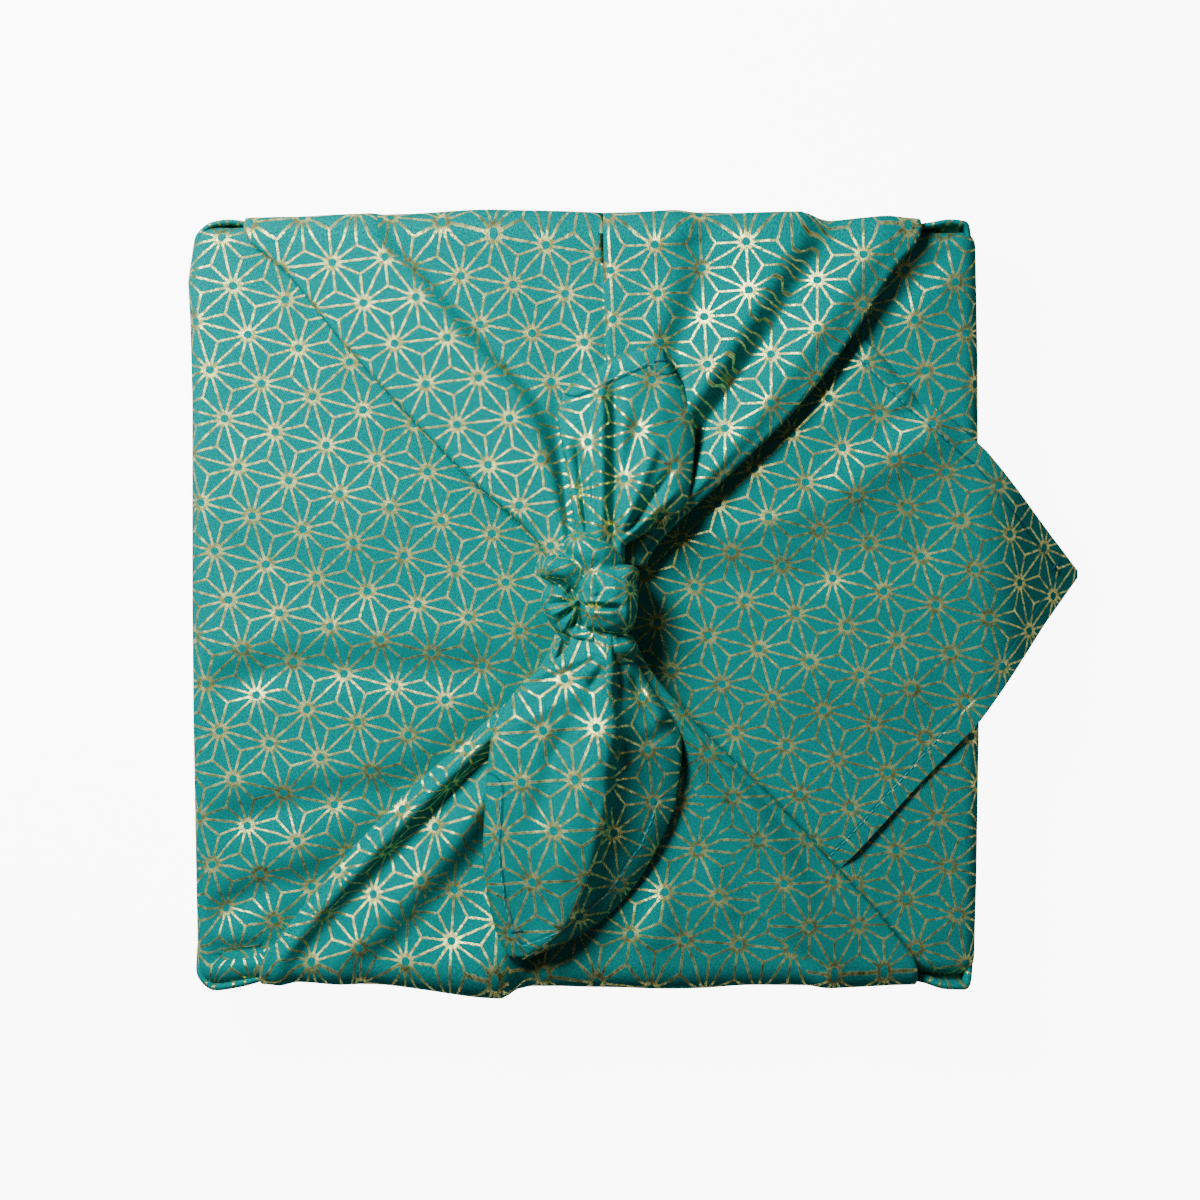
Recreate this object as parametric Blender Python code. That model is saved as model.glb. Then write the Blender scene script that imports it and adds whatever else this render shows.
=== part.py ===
"""Furoshiki wrap: one square cotton cloth folded round a flat box and tied on top. The box is left out: it is hollow."""

import math

import bmesh
import bpy
import numpy as np

MM = 0.001

# Driving sizes in millimetres. +X is east, where the flap's tip overhangs; +Y is north; the base rests on z = 0.
WIDTH = 276.0  # west side to east side
HEIGHT = 38.0  # floor to the upper face of the west flap
SHEET = 1.2  # thickness of the cloth as built
GAP = 0.6  # clear space between one layer and the next
PITCH = SHEET + GAP
WALL_NORTH = 131.5  # where the west flap's cloth turns down, mid-sheet
WALL_SOUTH = -132.5
EDGE_RADIUS = 5.0  # along the top edges
FOOT_RADIUS = 4.0  # along the base edges
LAP = 25.0  # how far a side wraps round the upright edges, under the tied strips
FOOT_LAP = 6.0
RETURN = 9.0  # width of the cloth turned under along a strip's folded edge
INNER_END = -46.0  # where the hidden east flap stops

# West flap: its hems meet the north and south top edges at HEM_START and run to the tip.
HEM_START = 53.0
TIP_X = 175.0
TIP_ANGLE = math.radians(42)  # how steeply the overhanging tip hangs
TIP_BEND = 16.0  # arc over which it bends down
# (east, north hem, south hem) as seen from above
HEMS = ((53, 131, -132), (96, 93.5, -88), (117, 72, -65), (138, 54, -41.5), (162, 25.5, -8), (175, 10.5, 8))

# Tied strips. Each crease runs from the box's top edge to the knot; its place (east) and its height above the west
# flap's mid-sheet (rise) are given at these distances north or south of the knot's middle.
STRIP_STATIONS = (130, 115, 91, 66, 42, 19, 12)
NORTH_CREASES = {
    "west fold": ((-119, -104.3, -85, -62.6, -39.2, -15.4, -12), (3.8, 3.9, 4.1, 4.6, 6, 8.5, 9.1)),
    "west crest": ((-77.7, -57.8, -37.1, -22, -14, -7.5, -6.1), (4.4, 4.8, 5.4, 6.2, 8, 10, 10.4)),
    "crest foot": ((-73, -53.5, -33.5, -19, -12, -6.4, -5.2), (2.4, 2.4, 3, 4.4, 6.8, 9.4, 10)),
    "broad dip": ((-33, -20.7, -12, -8, -5, -3, -2.5), (2.6, 2.2, 2.4, 3.6, 6.2, 9.2, 9.8)),
    "pleat foot": ((5.8, 5.9, 5.6, 4.4, 2.6, 0.2, -0), (3, 3, 3.2, 4.2, 6.6, 9.6, 10.2)),
    "pleat lip": ((7.4, 7.5, 7.2, 6, 4, 1.4, 1.1), (5, 4.8, 4.8, 5.4, 7.4, 10, 10.5)),
    "soft dip": ((40.6, 36, 34, 24, 13, 4.6, 3.7), (2.6, 2.3, 2.6, 4.2, 6.8, 9.6, 10.2)),
    "east crest": ((70, 60.5, 46.2, 33, 20, 8, 6.7), (6.4, 6.4, 7, 8, 9.4, 10.6, 10.8)),
    "deep dip": ((83, 74.9, 59.9, 42.5, 27, 12.4, 10.4), (2.4, 2.2, 2.4, 3.8, 6.6, 9, 9.6)),
    "band crest": ((103, 93, 78, 60, 39, 19, 15.6), (5, 5.8, 7.2, 8.4, 9.4, 10, 10.2)),
    "east fold": ((118, 107.8, 92.8, 73.2, 48.7, 25.2, 20.9), (4.2, 4.4, 5, 5.8, 6.6, 8.2, 8.8)),
}
SOUTH_CREASES = {
    "west fold": ((-113.4, -104, -84.4, -60.6, -33.3, -12.6, -10), (3.8, 3.9, 4.2, 4.8, 6, 8.4, 9)),
    "west crest": ((-108.4, -98, -77, -53, -28, -10, -7.9), (4.6, 5.4, 6.4, 7.4, 8.4, 10, 10.4)),
    "west dip": ((-101, -91, -69, -45, -22.6, -8, -6.2), (2.6, 2.4, 2.4, 3, 5.6, 9, 9.7)),
    "second crest": ((-87, -74, -53, -34, -16.6, -6, -4.6), (4.2, 5.4, 6.6, 7.2, 8, 10, 10.5)),
    "second dip": ((-78, -63, -43, -26, -11.6, -3.8, -2.8), (2.6, 2.2, 2.4, 3.4, 6, 9.2, 9.9)),
    "tip ridge": ((-29.4, -22.4, -14, -9, -4.6, -1, -0.5), (5.4, 4, 3.4, 4.2, 6.6, 9.6, 10.2)),
    "tip notch": ((-20, -14.6, -8, -4.6, -1.6, 0.8, 1), (2.2, 2.4, 2.6, 3.6, 6.2, 9.4, 10)),
    "broad crest": ((30, 28, 23, 17, 11, 5.6, 4.8), (4.4, 4, 3.6, 4, 6.4, 9.4, 10)),
    "deep dip": ((81, 69, 53, 38, 22, 9.4, 8), (3, 2.6, 2.2, 2.6, 5.4, 9, 9.7)),
    "band crest": ((91, 80.6, 64, 47, 29, 13.6, 11.5), (5.4, 6.6, 7.8, 8.4, 9, 10, 10.3)),
    "east fold": ((116.6, 107.1, 85.8, 64.1, 38, 19.8, 16.7), (4.2, 4.2, 4.6, 5.4, 6.4, 8.2, 8.8)),
}

# Free ends. Rows of (west edge: east, north; east edge: east, north; height), from inside the knot to the corner.
NORTH_END = (
    (-2, 12, 14, 12, 55),
    (-1, 18.2, 14, 18.2, 57),
    (-2.5, 25, 19, 22, 56.5),
    (-4.2, 33, 28, 26.5, 55.5),
    (-5.3, 43, 35, 33, 53.5),
    (-7.4, 54, 37.5, 44, 51.5),
    (-9.1, 64, 38.4, 56, 49.5),
    (-6.3, 72.5, 37.6, 67, 47.8),
    (3.5, 79.8, 33, 77, 46.4),
    (10.9, 84.2, 29, 83, 45.6),
    (22.8, 88.2, 27.5, 87, 45),
)
SOUTH_END = (
    (-4, -11, 14, -11, 55),
    (-5.6, -16.8, 14.7, -17.5, 57),
    (-15, -23.8, 19.6, -24.4, 56),
    (-23.5, -31.5, 24.2, -32, 54.5),
    (-31.9, -47.3, 34, -49, 52),
    (-33.6, -66.5, 32.6, -66.5, 50),
    (-34.7, -87.5, 24.5, -87.5, 48),
    (-32.6, -105, 12.6, -105, 46.4),
    (-29.4, -117.3, -2.5, -117.3, 45),
    (-25.6, -124.3, -19.6, -124.3, 44),
)
# Creases of the free ends: share of the width at the knot, halfway and at the corner, then height at each.
NORTH_END_CREASES = {
    "west groove": ((0.2, 0.14, 0.12), (-2, -1.6, 0)),
    "west crest": ((0.45, 0.25, 0.25), (1.6, 1.2, 0.2)),
    "middle groove": ((0.6, 0.36, 0.4), (-3, -1.6, 0)),
    "tip crest": ((0.7, 0.55, 0.6), (1.4, 1.4, 0.3)),
    "east groove": ((0.8, 0.72, 0.75), (-1.8, -1, 0)),
    "east crest": ((0.9, 0.86, 0.87), (1.4, 0.8, 0)),
}
SOUTH_END_CREASES = {
    "west crest": ((0.25, 0.22, 0.3), (1.6, 0.8, 0)),
    "west groove": ((0.5, 0.42, 0.5), (-3, -0.2, 0)),
    "leaf crest": ((0.78, 0.62, 0.66), (1.8, 1.6, 0.4)),
    "leaf foot": ((0.85, 0.67, 0.74), (-2.6, -2.4, -0.6)),
    "lobe crest": ((0.93, 0.86, 0.88), (0.4, -0.8, -0.4)),
}
END_ARCH = 2.0  # how far the middle of a free end stands above its edges
END_CURL = 2.4  # how far its edges curl down

# Knot: how far it reaches from its middle at each bearing (degrees from east towards north).
KNOT_CENTRE = (1.4, 0.0, 53.0)
KNOT_HALF_HEIGHT = 14.0
KNOT_REACH = {
    0: 16.8, 30: 18.9, 47: 18.8, 65: 20, 90: 23.8, 110: 20.5, 130: 19.9, 150: 19.8, 180: 15, 197: 13.4,
    220: 13.7, 248: 17, 270: 18.6, 291: 23.6, 306: 26.2, 320: 21.6, 340: 18,
}  # fmt: skip
# Creases in the knot's face: (from, to, depth, width), places east and north of its middle
KNOT_CREASES = {
    "pit": ((-4.5, 2.6), (-1.0, 1.2), 4.5, 3.6),
    "upper crease": ((-5.3, 15.8), (1.0, 10.8), 1.2, 1.8),
    "cross crease": ((2.8, -2.5), (11, -3.2), 1.4, 1.8),
    "slit": ((-1.4, -1.0), (1.1, -8.4), 2.4, 2.0),
    "collar edge": ((1.0, -10.2), (17.5, -13.5), 1.6, 2.0),
}


def smooth_curve(stations, values, at):
    """Monotone cubic through (stations, values), evaluated at the numbers in at."""
    s, v, at = (np.asarray(a, float) for a in (stations, values, at))
    step = np.diff(s)
    slope = np.diff(v) / step
    tangent = np.concatenate([slope[:1], np.zeros(len(s) - 2), slope[-1:]])
    for i in range(1, len(s) - 1):
        if slope[i - 1] * slope[i] > 0:
            w0, w1 = 2 * step[i] + step[i - 1], step[i] + 2 * step[i - 1]
            tangent[i] = (w0 + w1) / (w0 / slope[i - 1] + w1 / slope[i])
    i = np.clip(np.searchsorted(s, at, side="right") - 1, 0, len(step) - 1)
    t = np.clip((at - s[i]) / step[i], 0, 1)
    ends = v[i] * (2 * t**3 - 3 * t**2 + 1) + v[i + 1] * (3 * t**2 - 2 * t**3)
    return ends + step[i] * (tangent[i] * (t**3 - 2 * t**2 + t) + tangent[i + 1] * (t**3 - t**2))


def filleted(corners, radii, counts):
    """Points along a polyline in a plane: this many steps on each side, and three round each inner corner."""
    corners = [np.array(c, float) for c in corners]
    points = [corners[0]]

    def straight_to(end, count):
        start = points[-1]
        points.extend(start + (end - start) * k / count for k in range(1, count + 1))

    for before, corner, after, radius, count in zip(corners, corners[1:], corners[2:], radii, counts):
        d0 = (before - corner) / np.linalg.norm(before - corner)
        d1 = (after - corner) / np.linalg.norm(after - corner)
        half = math.acos(np.clip(d0 @ d1, -1, 1)) / 2
        straight_to(corner + d0 * radius / math.tan(half), count)
        centre = corner + (d0 + d1) / np.linalg.norm(d0 + d1) * radius / math.sin(half)
        start, end = points[-1] - centre, corner + d1 * radius / math.tan(half) - centre
        for k in (1, 2, 3):
            mixed = start * (3 - k) + end * k
            points.append(centre + mixed / np.linalg.norm(mixed) * radius)
    straight_to(corners[-1], counts[-1])
    return np.array(points)


def object_of(name, points, faces):
    mesh = bpy.data.meshes.new(name)
    mesh.from_pydata((np.asarray(points) * MM).tolist(), [], faces)
    work = bmesh.new()
    work.from_mesh(mesh)
    bmesh.ops.triangulate(work, faces=work.faces[:])
    bmesh.ops.recalc_face_normals(work, faces=work.faces[:])
    work.to_mesh(mesh)
    work.free()
    made = bpy.data.objects.new(name, mesh)
    bpy.context.scene.collection.objects.link(made)
    return made


def sheet_object(name, middle, thickness):
    """A closed sheet of this thickness round a grid of mid-sheet points, shape (rows, columns, 3)."""
    normal = np.cross(np.gradient(middle, axis=0), np.gradient(middle, axis=1))
    normal /= np.maximum(np.linalg.norm(normal, axis=2, keepdims=True), 1e-9)
    rows, columns = middle.shape[:2]
    half = np.broadcast_to(np.asarray(thickness, float), (rows, columns))[..., None] / 2
    points = np.concatenate([(middle + normal * half).reshape(-1, 3), (middle - normal * half).reshape(-1, 3)])
    under = rows * columns
    faces = []
    for i in range(rows - 1):
        for j in range(columns - 1):
            a, b = i * columns + j, (i + 1) * columns + j
            faces += [(a, b, b + 1, a + 1), (under + a + 1, under + b + 1, under + b, under + a)]
    rim = list(range(columns)) + [i * columns + columns - 1 for i in range(1, rows)]
    rim += [(rows - 1) * columns + j for j in range(columns - 2, -1, -1)]
    rim += [i * columns for i in range(rows - 2, 0, -1)]
    faces += [(a, b, under + b, under + a) for a, b in zip(rim, rim[1:] + rim[:1])]
    return object_of(name, points, faces)


# The box wrap: east flap, base and west flap are one spiral round the box


def wrap_section(spacing, inset):
    """Spiral in the x-z plane from the hidden east flap's end to the west flap, drawn in by inset, and its layers.

    The layer of a point is 0 on the east flap and wall, 1 on the west ones, and grows along the base between them.
    """
    side, top, foot = (WIDTH - SHEET) / 2, HEIGHT - SHEET / 2, SHEET / 2
    inner = top - PITCH
    corners = [(INNER_END, inner), (side, inner), (side, foot), (-side, foot), (-side, top), (side, top)]
    rounded = min(inset, EDGE_RADIUS)
    lift = rounded + (inset - rounded) * (FOOT_LAP - EDGE_RADIUS) / (LAP - EDGE_RADIUS)
    moves = [(0, -inset), (-inset, -inset), (-inset, lift), (inset, lift), (inset, -inset), (0, -inset)]
    moved = [(x + dx, z + dz) for (x, z), (dx, dz) in zip(corners, moves)]
    radii = [max(r - inset, 0.8) for r in (EDGE_RADIUS, FOOT_RADIUS, FOOT_RADIUS, EDGE_RADIUS)]
    spacings = (spacing, spacing, spacing, spacing, spacing / 1.6)
    counts = [max(1, round(math.dist(a, b) / step)) for a, b, step in zip(corners, corners[1:], spacings)]
    points = filleted(moved, radii, counts)
    ends = np.cumsum([0] + [count + 3 for count in counts])
    share = np.clip((np.arange(len(points)) - ends[2]) / (ends[3] - 3 - ends[2]), 0, 1)
    return points, share


def tip_section():
    """The overhanging part of the west flap in the x-z plane, bending down past the box's east edge."""
    x, z = (WIDTH - SHEET) / 2, HEIGHT - SHEET / 2
    tip, step = [], 6.0
    while x < TIP_X - 0.01:
        angle = TIP_ANGLE * min(1.0, step * (len(tip) + 1) / TIP_BEND)
        x, z = min(TIP_X, x + step * math.cos(angle)), z - step * math.sin(angle)
        tip.append((x, z))
    return tip


def hems_at(x, layer):
    """South and north hem of the flap at x as seen from above, or None where the flap is full width."""
    if layer < 1 or x <= HEM_START:
        return None
    east, north, south = zip(*HEMS)
    return float(np.interp(x, east, south)), float(np.interp(x, east, north))


def wrap_rows(flat_steps):
    """Rows across the wrap, south to north: (side, share of the flat, of the rounding, of the lap)."""
    flat = [(share, 0.0, 0.0) for share in np.linspace(0, 0.95, flat_steps)]
    turned = [(0.96, 0.0, 0.0), (0.97, 0.5, 0.0), (0.98, 1.0, 0.0), (0.99, 1.0, 0.5), (1.0, 1.0, 1.0)]
    return [(-1, *row) for row in reversed(flat[1:] + turned)] + [(1, *row) for row in flat + turned]


def wrap_grid(spacing, flat_steps):
    """Mid-sheet grid of the spiral, with its north and south ends turned in round the box's edges."""
    outer, layers = wrap_section(spacing, 0.0)
    tip = tip_section()
    on_flap = np.flatnonzero((layers == 1) & (outer[:, 1] > HEIGHT / 2))
    turning = on_flap[np.argmin(np.abs(outer[on_flap, 0] - HEM_START))]
    outer[[turning, turning + 1], 0] = HEM_START - 6, HEM_START + 3
    grid = []
    for sign, share, turn, lapped in wrap_rows(flat_steps):
        angle = turn * math.pi / 2
        inset = EDGE_RADIUS * (1 - math.cos(angle)) + lapped * (LAP - EDGE_RADIUS)
        drawn_in, _ = wrap_section(spacing, inset)
        row = []
        for (x0, z0), (x, z), layer in zip(outer, drawn_in, layers):
            hems = hems_at(x0, layer) if z0 > HEIGHT / 2 else None
            if hems:
                row.append((x0, (hems[0] + hems[1]) / 2 + sign * share * (hems[1] - hems[0]) / 2, z0))
                continue
            wall = (WALL_NORTH if sign > 0 else -WALL_SOUTH) - PITCH * (1 - layer)
            y = wall - EDGE_RADIUS * (1 - math.sin(angle)) if turn else share / 0.96 * (wall - EDGE_RADIUS)
            whole = HEM_START - x0
            if z0 > HEIGHT / 2 and layer == 1 and whole < LAP:
                bend = angle * np.clip(whole / 12, 0.35, 1)
                beyond = lapped * max(0.8, whole - EDGE_RADIUS - 1)
                y = y if not turn else wall + 0.5 - EDGE_RADIUS * (1 - math.sin(bend)) + beyond * math.cos(bend)
                x, z = x0, z0 - EDGE_RADIUS * (1 - math.cos(bend)) - beyond * math.sin(bend)
            row.append((x, sign * y, z))
        for x, z in tip:
            south, north = hems_at(x, 1)
            row.append((x, (south + north) / 2 + sign * share * (north - south) / 2, z))
        grid.append(row)
    return np.array(grid)


# The tied strips


def fold_under(east, rise, inward, swing, reach):
    """Section of a strip's folded edge, from the hidden return round to the upper face.

    swing turns the edge from lying flat outward (0) to rolled down (1), then reach draws out the return below it.
    """
    low = rise - (rise - PITCH) * swing
    radius = (rise - low) / 2
    wide = min(radius, 1.6)
    curl = [
        (0.3 * wide + reach * (RETURN - 0.3 * wide), low),
        (0.3 * wide, low + 0.3 * radius),
        (0.0, low + radius),
        (0.3 * wide, rise - 0.3 * radius),
        (wide + 1.2, rise),
    ]
    return [(east + inward * (x - 0.7 * (1 - swing) * (4 - k)), h) for k, (x, h) in enumerate(curl)]


def strip_grid(creases, wall, spacing, column_width):
    """Mid-sheet grid of a tied strip: rows from the base's edge to the knot, columns from west to east."""
    side, top, foot = abs(wall), HEIGHT - SHEET / 2, SHEET / 2
    corners = [(side - 12, foot), (side, foot), (side, top), (STRIP_STATIONS[-1], top)]
    spacings = (spacing, spacing / 2.5, spacing)
    counts = [max(1, round(math.dist(a, b) / step)) for a, b, step in zip(corners, corners[1:], spacings)]
    spine = filleted(corners, [FOOT_RADIUS, EDGE_RADIUS], counts)
    run = np.concatenate([[0], np.cumsum(np.linalg.norm(np.diff(spine, axis=0), axis=1))])
    tangent = np.gradient(spine, axis=0)
    outward = np.stack([tangent[:, 1], -tangent[:, 0]], axis=1) / np.linalg.norm(tangent, axis=1, keepdims=True)
    foot_run = 12 - FOOT_RADIUS
    edge_run = run[-1] - (STRIP_STATIONS[0] - STRIP_STATIONS[-1])
    at = [foot_run, foot_run + 14] + [edge_run + STRIP_STATIONS[0] - s for s in STRIP_STATIONS]
    limit = (WIDTH - SHEET) / 2 - 4.5
    lines = []
    for east, rise in creases.values():
        base = np.clip(east[0] * 1.12, -limit, limit)
        path = smooth_curve(at, [base, base * 0.75 + east[0] * 0.25, *east], run)
        lines.append((path, smooth_curve(at, [0, 3.7, *rise], run)))
    widths = [b[0][0] - a[0][0] for a, b in zip(lines, lines[1:])]
    counts = [max(1, round(width / column_width)) for width in widths]
    grid = []
    for r, (distance, height) in enumerate(spine):
        swing = np.clip((run[r] - foot_run - 13) / 8, 0, 1)
        reach = np.clip((run[r] - foot_run - 20) / 24, 0, 1)
        west = fold_under(lines[0][0][r], lines[0][1][r], 1, swing, reach)
        east = fold_under(lines[-1][0][r], lines[-1][1][r], -1, swing, reach)
        inner = [west[-1]] + [(path[r], rise[r]) for path, rise in lines[1:-1]] + [east[-1]]
        section = west[:-1]
        for (x0, h0), (x1, h1), count in zip(inner, inner[1:], counts):
            for k in range(count):
                t = k / count
                section.append((x0 + (x1 - x0) * t, h0 + (h1 - h0) * (0.3 * t + 0.7 * t * t * (3 - 2 * t))))
        section += east[::-1]
        sign = math.copysign(1, wall)
        grid.append([(x, sign * (distance + outward[r, 0] * h), height + outward[r, 1] * h) for x, h in section])
    return np.array(grid)


# The free ends and the knot


def end_grid(table, creases, row_step, columns):
    """Mid-sheet grid of a free end: rows from inside the knot to the corner, columns from west to east."""
    columns_of = [np.array(column, float) for column in zip(*table)]
    run = np.abs(columns_of[1] - columns_of[1][0])
    rows = np.unique(np.concatenate([run, np.arange(0, run[-1], row_step)]))
    share_at = np.array([0, 0.45, 1]) * run[-1]
    lines = {name: (smooth_curve(share_at, s, rows), smooth_curve(share_at, h, rows)) for name, (s, h) in creases.items()}
    x0, y0, x1, y1, z = (smooth_curve(run, column, rows) for column in columns_of)
    edge = np.array([0, 0.03, 0.08])
    shares = np.concatenate([edge, np.linspace(0.08, 0.92, columns)[1:-1], 1 - edge[::-1]])
    grid = []
    for r in range(len(rows)):
        places = [0.0, *(lines[n][0][r] for n in lines), 1.0]
        heights = [0.0, *(lines[n][1][r] for n in lines), 0.0]
        size = min(1.0, (x1[r] - x0[r]) / 24)
        drop = END_CURL * size * np.clip(1 - np.minimum(shares, 1 - shares) / 0.1, 0, 1) ** 1.6
        arch = END_ARCH * size * (1 - (2 * shares - 1) ** 2)
        level = z[r] + arch - drop + size**2 * np.interp(shares, places, heights)
        plan = [a[r] + (b[r] - a[r]) * shares for a, b in ((x0, x1), (y0, y1))]
        grid.append(np.stack([*plan, level], axis=1))
    return np.array(grid)


def knot_object(name, subdivisions):
    """The knot: a lump with creases pressed into its face."""
    work = bmesh.new()
    bmesh.ops.create_icosphere(work, subdivisions=subdivisions, radius=1)
    bearings = list(KNOT_REACH) + [360]
    reaches = list(KNOT_REACH.values()) + [KNOT_REACH[0]]
    for vert in work.verts:
        x, y, z = vert.co
        flat = math.hypot(x, y)
        reach = float(np.interp(math.degrees(math.atan2(y, x)) % 360, bearings, reaches))
        out = reach * flat**0.75 / max(flat, 1e-6)
        px, py = x * out, y * out
        pz = KNOT_HALF_HEIGHT * math.copysign(abs(z) ** 0.8, z)
        if z > 0:
            for (ax, ay), (bx, by), depth, width in KNOT_CREASES.values():
                along = ((px - ax) * (bx - ax) + (py - ay) * (by - ay)) / ((bx - ax) ** 2 + (by - ay) ** 2)
                along = min(1, max(0, along))
                off = math.hypot(px - ax - along * (bx - ax), py - ay - along * (by - ay))
                pz -= depth * math.exp(-((off / width) ** 2))
        vert.co = [(c + p) * MM for c, p in zip(KNOT_CENTRE, (px, py, pz))]
    mesh = bpy.data.meshes.new(name)
    work.to_mesh(mesh)
    work.free()
    made = bpy.data.objects.new(name, mesh)
    bpy.context.scene.collection.objects.link(made)
    return made


def joined(name, pieces):
    """One object from overlapping closed pieces."""
    whole = pieces[0]
    for other in pieces[1:]:
        union = whole.modifiers.new("union", "BOOLEAN")
        union.operation, union.solver, union.object = "UNION", "EXACT", other
        mesh = bpy.data.meshes.new_from_object(whole.evaluated_get(bpy.context.evaluated_depsgraph_get()))
        whole.modifiers.clear()
        whole.data = mesh
        bpy.data.objects.remove(other)
    whole.name = whole.data.name = name
    return whole


def cotton():
    material = bpy.data.materials.new("teal cotton")
    material.use_nodes = True
    shader = material.node_tree.nodes["Principled BSDF"]
    shader.inputs["Base Color"].default_value = (0.012, 0.3, 0.29, 1)
    shader.inputs["Roughness"].default_value = 0.85
    return material


def strip_thickness(grid):
    """Thinner where the strip starts inside the base, so that its faces stay within the base's."""
    return np.clip(0.8 + (grid[..., 2] - 3) * 0.1, 0.8, SHEET)


def main():
    for old in list(bpy.data.objects):
        bpy.data.objects.remove(old)
    north = strip_grid(NORTH_CREASES, WALL_NORTH, 11, 17)
    south = strip_grid(SOUTH_CREASES, WALL_SOUTH, 11, 17)
    pieces = [
        sheet_object("wrap", wrap_grid(40, 4), SHEET),
        sheet_object("north strip", north, strip_thickness(north)),
        sheet_object("south strip", south, strip_thickness(south)),
        knot_object("knot", 4),
        sheet_object("north end", end_grid(NORTH_END, NORTH_END_CREASES, 9, 10), SHEET),
        sheet_object("south end", end_grid(SOUTH_END, SOUTH_END_CREASES, 10, 10), SHEET),
    ]
    cloth = joined("cloth", pieces)
    cloth.data.materials.clear()
    cloth.data.materials.append(cotton())


if __name__ == "__main__":
    main()
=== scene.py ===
"""The looks of a furoshiki: one square of printed cotton folded round a flat box and tied on top.

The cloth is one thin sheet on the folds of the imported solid. East is +X, north is +Y, and the base
rests on z = 0. Sizes are in millimetres unless a comment says otherwise, and become metres when a mesh
is made. Bearings are in degrees from east towards north.
"""

import logging
import math
from collections.abc import Sequence
from dataclasses import dataclass
from enum import Enum

import bmesh
import bpy
import numpy as np
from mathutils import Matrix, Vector

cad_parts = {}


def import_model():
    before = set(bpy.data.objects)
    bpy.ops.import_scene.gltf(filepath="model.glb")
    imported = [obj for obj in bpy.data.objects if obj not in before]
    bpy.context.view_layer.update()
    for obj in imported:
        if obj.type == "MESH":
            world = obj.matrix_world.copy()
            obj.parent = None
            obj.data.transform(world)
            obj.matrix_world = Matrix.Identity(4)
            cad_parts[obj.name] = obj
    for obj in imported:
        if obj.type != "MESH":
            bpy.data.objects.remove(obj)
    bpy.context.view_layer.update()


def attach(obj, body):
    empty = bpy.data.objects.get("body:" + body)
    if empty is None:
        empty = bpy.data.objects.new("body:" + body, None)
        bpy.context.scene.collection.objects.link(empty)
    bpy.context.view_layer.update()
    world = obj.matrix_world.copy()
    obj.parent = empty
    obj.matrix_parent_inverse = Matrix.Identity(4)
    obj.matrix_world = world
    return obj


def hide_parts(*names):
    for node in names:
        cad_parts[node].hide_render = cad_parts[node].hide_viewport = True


log = logging.getLogger("furoshiki")

MM = 0.001
Grid = np.ndarray
Pair = tuple[float, float]
Triple = tuple[float, float, float]
Material = bpy.types.Material
Node = bpy.types.Node
NodeTree = bpy.types.NodeTree
Object = bpy.types.Object
Socket = bpy.types.NodeSocket


class Flap(Enum):
    """The two flaps that cross over the box's top."""

    EAST = "east"
    WEST = "west"


# Small tools for curves and surfaces


def smooth_step(value: np.ndarray | float) -> np.ndarray:
    """Rise from 0 to 1 with flat ends, for a share of the way that is clipped to 0..1."""
    share = np.clip(value, 0.0, 1.0)
    return share * share * (3 - 2 * share)


def smooth_curve(stations: Sequence[float], values: Sequence[float], at: np.ndarray) -> np.ndarray:
    """Monotone cubic through a table.

    Args:
        stations: Increasing places.
        values: Value at each station.
        at: Places to read the curve at.

    Returns:
        The curve's values.
    """
    s, v, at = (np.asarray(a, float) for a in (stations, values, at))
    step = np.diff(s)
    slope = np.diff(v) / step
    tangent = np.concatenate([slope[:1], np.zeros(len(s) - 2), slope[-1:]])
    for i in range(1, len(s) - 1):
        if slope[i - 1] * slope[i] > 0:
            w0, w1 = 2 * step[i] + step[i - 1], step[i] + 2 * step[i - 1]
            tangent[i] = (w0 + w1) / (w0 / slope[i - 1] + w1 / slope[i])
    i = np.clip(np.searchsorted(s, at, side="right") - 1, 0, len(step) - 1)
    t = np.clip((at - s[i]) / step[i], 0, 1)
    ends = v[i] * (2 * t**3 - 3 * t**2 + 1) + v[i + 1] * (3 * t**2 - 2 * t**3)
    return ends + step[i] * (tangent[i] * (t**3 - 2 * t**2 + t) + tangent[i + 1] * (t**3 - t**2))


def away_from_line(x: Grid, y: Grid, start: Pair, end: Pair) -> tuple[Grid, Grid]:
    """Distance of points from a straight line's segment.

    Args:
        x: East of each point.
        y: North of each point.
        start: One end of the segment.
        end: Its other end.

    Returns:
        The distance, and how far along the segment the nearest point lies, 0 to 1.
    """
    (ax, ay), (bx, by) = start, end
    length2 = (bx - ax) ** 2 + (by - ay) ** 2
    along = np.clip(((x - ax) * (bx - ax) + (y - ay) * (by - ay)) / length2, 0, 1)
    return np.hypot(x - ax - along * (bx - ax), y - ay - along * (by - ay)), along


def away_from_path(x: Grid, y: Grid, path: Sequence[Pair]) -> Grid:
    """Distance of points from the nearest of a line's straight stretches."""
    return np.min([away_from_line(x, y, start, end)[0] for start, end in zip(path, path[1:])], axis=0)


def rumple(x: Grid, y: Grid, span: float, seed: int) -> Grid:
    """Gentle unevenness of cloth that has been folded and smoothed by hand.

    Args:
        x: East of each point.
        y: North of each point.
        span: Typical distance between one rise and the next.
        seed: Which pattern.

    Returns:
        Heights of about -1 to 1.
    """
    rng = np.random.default_rng(seed)
    total = np.zeros(np.broadcast(x, y).shape)
    waves, crest = 9, 1.4
    for _ in range(waves):
        bearing, phase, size = rng.uniform(0, math.pi), rng.uniform(0, math.tau), rng.uniform(0.75, 1.5)
        across = x * math.cos(bearing) + y * math.sin(bearing)
        total += np.cos(across * math.tau / (span * size) + phase)
    return total / math.sqrt(waves) / crest


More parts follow.
